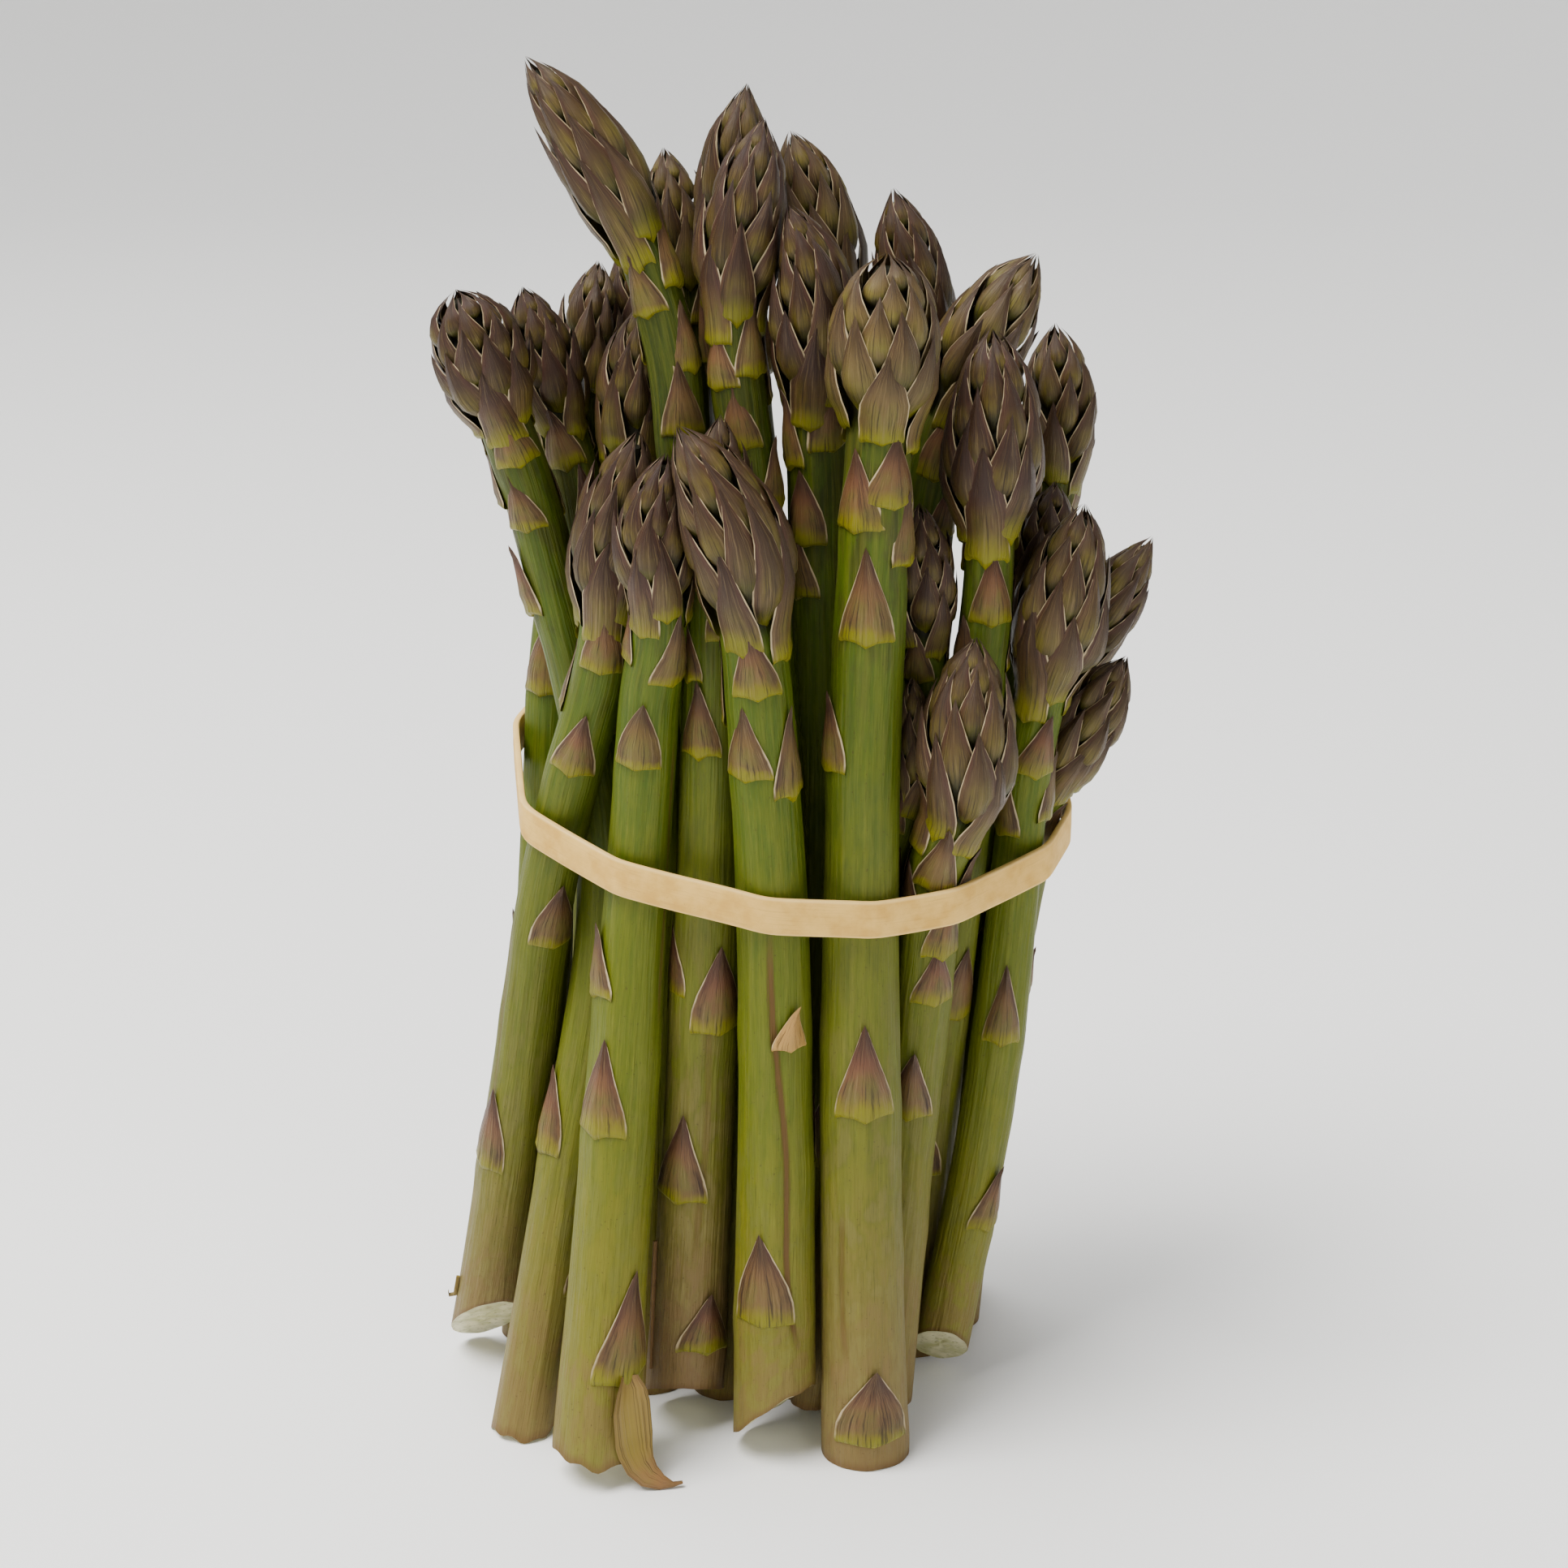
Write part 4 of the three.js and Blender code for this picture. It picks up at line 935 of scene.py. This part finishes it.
def blade_part(s, leaves, along, spot):
    """Its leaves and scales, laid out flat and then rolled on, narrower where the bud is thin."""
    rows = leaf_blades(s, leaves) + bud_blades(s, leaves) + FLAPS.get(s.number, [])
    sheet = lay_blades(s, rows)
    flat = np.empty(len(sheet.vertices) * 3)
    sheet.vertices.foreach_get("co", flat)
    x, far, height = flat.reshape(-1, 3).T
    blade, own = read_vectors(sheet, "blade"), read_vectors(sheet, "own")
    polygons = [tuple(p.vertices) for p in sheet.polygons]
    bpy.data.meshes.remove(sheet)
    turn = x + own[:, 1] * blade[:, 0] ** 2
    thin = np.clip(radius_at(s, far / s.length) / 3.2, 0.12, 1)
    height = height * np.where(far > s.start * s.length, thin, 1)
    rolled = foot_cut(s, on_spear(s, far, turn, height), far, turn, along, spot)
    return rolled, np.column_stack([blade[:, :2], own[:, 0]]), turn, far, [(polygons, papery)]


def grow(s):
    leaves = leaf_places(s) + low_leaves(s)
    spot, along = (a[0] for a in axis_frame(s, np.zeros(1))[:2])
    parts = [stalk_part(s, leaves, along, spot), blade_part(s, leaves, along, spot)]
    if s.number in PEELINGS:
        verts, marks, strip = peeling(s)
        parts.append((verts, marks, np.zeros(len(verts)), verts[:, 2], [(strip, papery)]))
    materials, faces, slots, first = (skin, flesh, papery), [], [], 0
    for points, _, _, _, sorts in parts:
        for polygons, material in sorts:
            faces += [tuple(first + v for v in p) for p in polygons]
            slots += [materials.index(material)] * len(polygons)
        first += len(points)
    points, marks, turn, far = (np.concatenate(column) for column in list(zip(*parts))[:4])

    mesh = bpy.data.meshes.new(f"spear_{s.number:02d}")
    mesh.from_pydata(np.clip((points - MIDDLE) / 1000, box_low, box_high).tolist(), [], faces)
    for material in materials:
        mesh.materials.append(material)
    mesh.polygons.foreach_set("material_index", slots)
    dull = DULL.get(s.number, 0.1 + 0.6 * draw(s.number, 5))
    dark = DARK.get(s.number, 0.3 + 0.7 * draw(s.number, 6))
    youth = np.clip((far - s.start * s.length) / 10 + 0.2, 0, 1)
    give_vectors(mesh, "turn", (np.cos(turn), np.sin(turn), far))
    give_vectors(mesh, "trait", (np.full(len(far), dull), np.full(len(far), dark), youth))
    give_vectors(mesh, "blade", marks.T)
    give_vectors(mesh, "scar", scar_at(s, far, turn).T)
    mesh.polygons.foreach_set("use_smooth", np.ones(len(mesh.polygons), bool))
    mesh.set_sharp_from_angle(angle=SHARP_EDGE)
    piece = bpy.data.objects.new(f"spear_{s.number:02d}_fine", mesh)
    bpy.context.scene.collection.objects.link(piece)
    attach(piece, "root")
    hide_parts(f"spear_{s.number:02d}")


for s in spears:
    grow(s)

# ------------------------------------------------------------------------------------------------
# The rubber band: one flat loop of tan rubber, drawn tight round the whole crowd of stalks at its waist. Its
# path is the tightest line round them, with its corners eased, and its section is swept along that.
# ------------------------------------------------------------------------------------------------
BAND_THICK = 1.1
BAND_SLACK = 0.8          # how far it stands off the stalks it spans
BAND_POINTS = 300
BAND_ROUNDINGS = 3        # how often its corners are eased
AXIS_POINTS, RING_POINTS = 121, 48                  # how finely the stalks are felt for its path
EDGE_ROUND = 0.28         # radius of its long edges


def left_turn(a, b, c):
    return (b[0] - a[0]) * (c[1] - a[1]) - (b[1] - a[1]) * (c[0] - a[0])


def tightest_line(points):
    """The corners of the tightest line round the points, in order."""
    order = sorted(map(tuple, points))
    chains = []
    for run in (order, order[::-1]):
        chain = []
        for p in run:
            while len(chain) > 1 and left_turn(chain[-2], chain[-1], p) <= 0:
                chain.pop()
            chain.append(p)
        chains += chain[:-1]
    return np.array(chains)


touched = []
turn = np.linspace(0, 2 * math.pi, RING_POINTS, endpoint=False)
for s in spears:
    for u in np.linspace(0, 1, AXIS_POINTS):
        spot = axis_frame(s, np.array([u]))[0][0]
        if abs(spot[2] - band_plane(spot[0], spot[1])) < BAND_WIDTH / 2 + 1:
            off = np.full(RING_POINTS, BAND_SLACK - 0.1)
            touched.append(on_spear(s, np.full(RING_POINTS, u * s.length), turn, off)[:, :2])
loop = tightest_line(np.vstack(touched))
closed = np.vstack([loop, loop[:1]])
reach = np.concatenate([[0], np.cumsum(np.linalg.norm(np.diff(closed, axis=0), axis=1))])
at = np.linspace(0, reach[-1], BAND_POINTS, endpoint=False)
loop = np.stack([np.interp(at, reach, closed[:, c]) for c in range(2)], 1)
for _ in range(BAND_ROUNDINGS):
    loop = loop / 2 + (np.roll(loop, 1, 0) + np.roll(loop, -1, 0)) / 4
way = np.roll(loop, -1, 0) - np.roll(loop, 1, 0)
out_way = np.stack([way[:, 1], -way[:, 0]], 1) / np.linalg.norm(way, axis=1, keepdims=True)
# the section, from the inner lower corner round: out and up, with softly rounded edges
w, t, r = BAND_WIDTH / 2, BAND_THICK, EDGE_ROUND
SECTION = [(0, -w + r), (0, 0), (0, w - r), (.3 * r, w - .3 * r), (r, w), (t - r, w),
           (t - .3 * r, w - .3 * r), (t, w - r), (t, w / 2), (t + .04, 0), (t, -w / 2), (t, -w + r),
           (t - .3 * r, -w + .3 * r), (t - r, -w), (r, -w), (.3 * r, -w + .3 * r)]
verts, marks = [], []
for k, (p, n) in enumerate(zip(loop, out_way)):
    a = at[k] / reach[-1] * 2 * math.pi
    wave = 0.10 * math.sin(5 * a) + 0.05 * math.sin(13 * a + 1)
    for out_mm, up_mm in SECTION:
        q = p + n * out_mm
        verts.append((*q, band_plane(*p) + up_mm + wave))
        marks.append((at[k], up_mm, out_mm))
m = len(SECTION)
faces = []
for i in range(BAND_POINTS):
    here, there = i * m, (i + 1) % BAND_POINTS * m
    for j in range(m):
        k = (j + 1) % m
        faces.append((here + k, there + k, there + j, here + j))
mesh = bpy.data.meshes.new("rubber_band_fine")
mesh.from_pydata(((np.array(verts) - MIDDLE) / 1000).tolist(), [], faces)
give_vectors(mesh, "strip", np.array(marks).T)
mesh.polygons.foreach_set("use_smooth", np.ones(len(mesh.polygons), bool))

rubber, sh, principled = new_material("band_rubber")
run, across, _ = sh.attribute("strip")
place = sh.node("ShaderNodeTexCoord").outputs["Object"]
cloud = sh.noise(place, 260.0, 4.0)
grit = sh.noise(place, 2600.0, 3.0, 0.7)
pulled = sh.noise(sh.point(sh.times(run, 0.12), sh.times(across, 3.2), 0.0), 1.0, 3.0)
colour = sh.mix(sh.span(cloud, 0.3, 0.7), linear(220, 178, 90), linear(200, 156, 68))
colour = sh.over(colour, sh.span(pulled, 0.52, 0.75, 0.0, 0.35), 172, 130, 58)
colour = sh.over(colour, sh.span(grit, 0.62, 0.74, 0.0, 0.4), 140, 106, 52)
rim = sh.span(sh.size(across), 2.6, 3.1)
colour = sh.over(colour, sh.times(rim, 0.5), 232, 200, 132)
sh.surface(principled, {
    "Base Color": colour, "Roughness": sh.span(cloud, 0.3, 0.7, 0.55, 0.72), "Specular IOR Level": 0.35,
    "Subsurface Weight": 0.1, "Subsurface Radius": (0.0012, 0.0008, 0.0004),
}, sh.plus(sh.times(grit, 0.5), pulled), 0.4, relief=0.0001)
mesh.materials.append(rubber)
band = bpy.data.objects.new("rubber_band_fine", mesh)
bpy.context.scene.collection.objects.link(band)
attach(band, "root")
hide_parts("rubber_band")

# ------------------------------------------------------------------------------------------------
# The table and the light: a plain pale floor that sweeps up far off all round, one large soft lamp up to
# the left, a fill from the right and a broad dim light overhead.
# ------------------------------------------------------------------------------------------------
SWEEP_SIDES, SWEEP_STEP = 72, 6                     # faces round the sweep, and degrees from ring to ring
FLAT_TO, SWEEP_OUT, SWEEP_UP = 1.8, 1.6, 2.4        # metres: the flat floor, and how it sweeps up past it
sweep = [(FLAT_TO + SWEEP_OUT * math.sin(a), SWEEP_UP - SWEEP_UP * math.cos(a))
         for a in np.radians(np.arange(0, 91, SWEEP_STEP))]
around = [(math.cos(a), math.sin(a)) for a in np.linspace(0, 2 * math.pi, SWEEP_SIDES, endpoint=False)]
rings = np.arange(len(sweep) * SWEEP_SIDES).reshape(-1, SWEEP_SIDES)
turned = np.roll(rings, -1, 1)
mesh = bpy.data.meshes.new("floor")
slopes = np.stack([rings[:-1], rings[1:], turned[1:], turned[:-1]], -1).reshape(-1, 4).tolist()
spots = [(r * x, r * y, z) for r, z in sweep for x, y in around]
mesh.from_pydata(spots, [], [list(range(SWEEP_SIDES)), *slopes])
mesh.polygons.foreach_set("use_smooth", np.ones(len(mesh.polygons), bool))
paper, sh, principled = new_material("paper")
principled["Base Color"].default_value = (0.90, 0.90, 0.89, 1)
principled["Roughness"].default_value = 0.85
mesh.materials.append(paper)
floor = bpy.data.objects.new("floor", mesh)
bpy.context.scene.collection.objects.link(floor)
floor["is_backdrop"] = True

LIT_AT = Vector((0, 0, 0.1))                        # what the lamps are turned towards
for name, at, size, power, colour in (
    ("key", (-0.60, -0.35, 1.40), 0.8, 42.0, (1.0, 0.98, 0.95)),
    ("fill", (0.9, -1.1, 1.1), 1.2, 4.0, (0.96, 0.98, 1.0)),
):
    lamp = bpy.data.lights.new(name, "AREA")
    lamp.size, lamp.energy, lamp.color = size, power, colour
    light = bpy.data.objects.new(name, lamp)
    light.location = at
    light.rotation_euler = (LIT_AT - light.location).to_track_quat("-Z", "Y").to_euler()
    bpy.context.scene.collection.objects.link(light)

lamp = bpy.data.lights.new("ceiling", "SUN")
lamp.energy, lamp.angle = 2.2, math.radians(50)
light = bpy.data.objects.new("ceiling", lamp)
light.rotation_euler = (math.radians(-12), math.radians(-14), 0)
bpy.context.scene.collection.objects.link(light)

world = bpy.data.worlds.new("room")
world.use_nodes = True
world.node_tree.nodes["Background"].inputs["Color"].default_value = (1.0, 1.0, 1.0, 1)
world.node_tree.nodes["Background"].inputs["Strength"].default_value = 0.2
bpy.context.scene.world = world
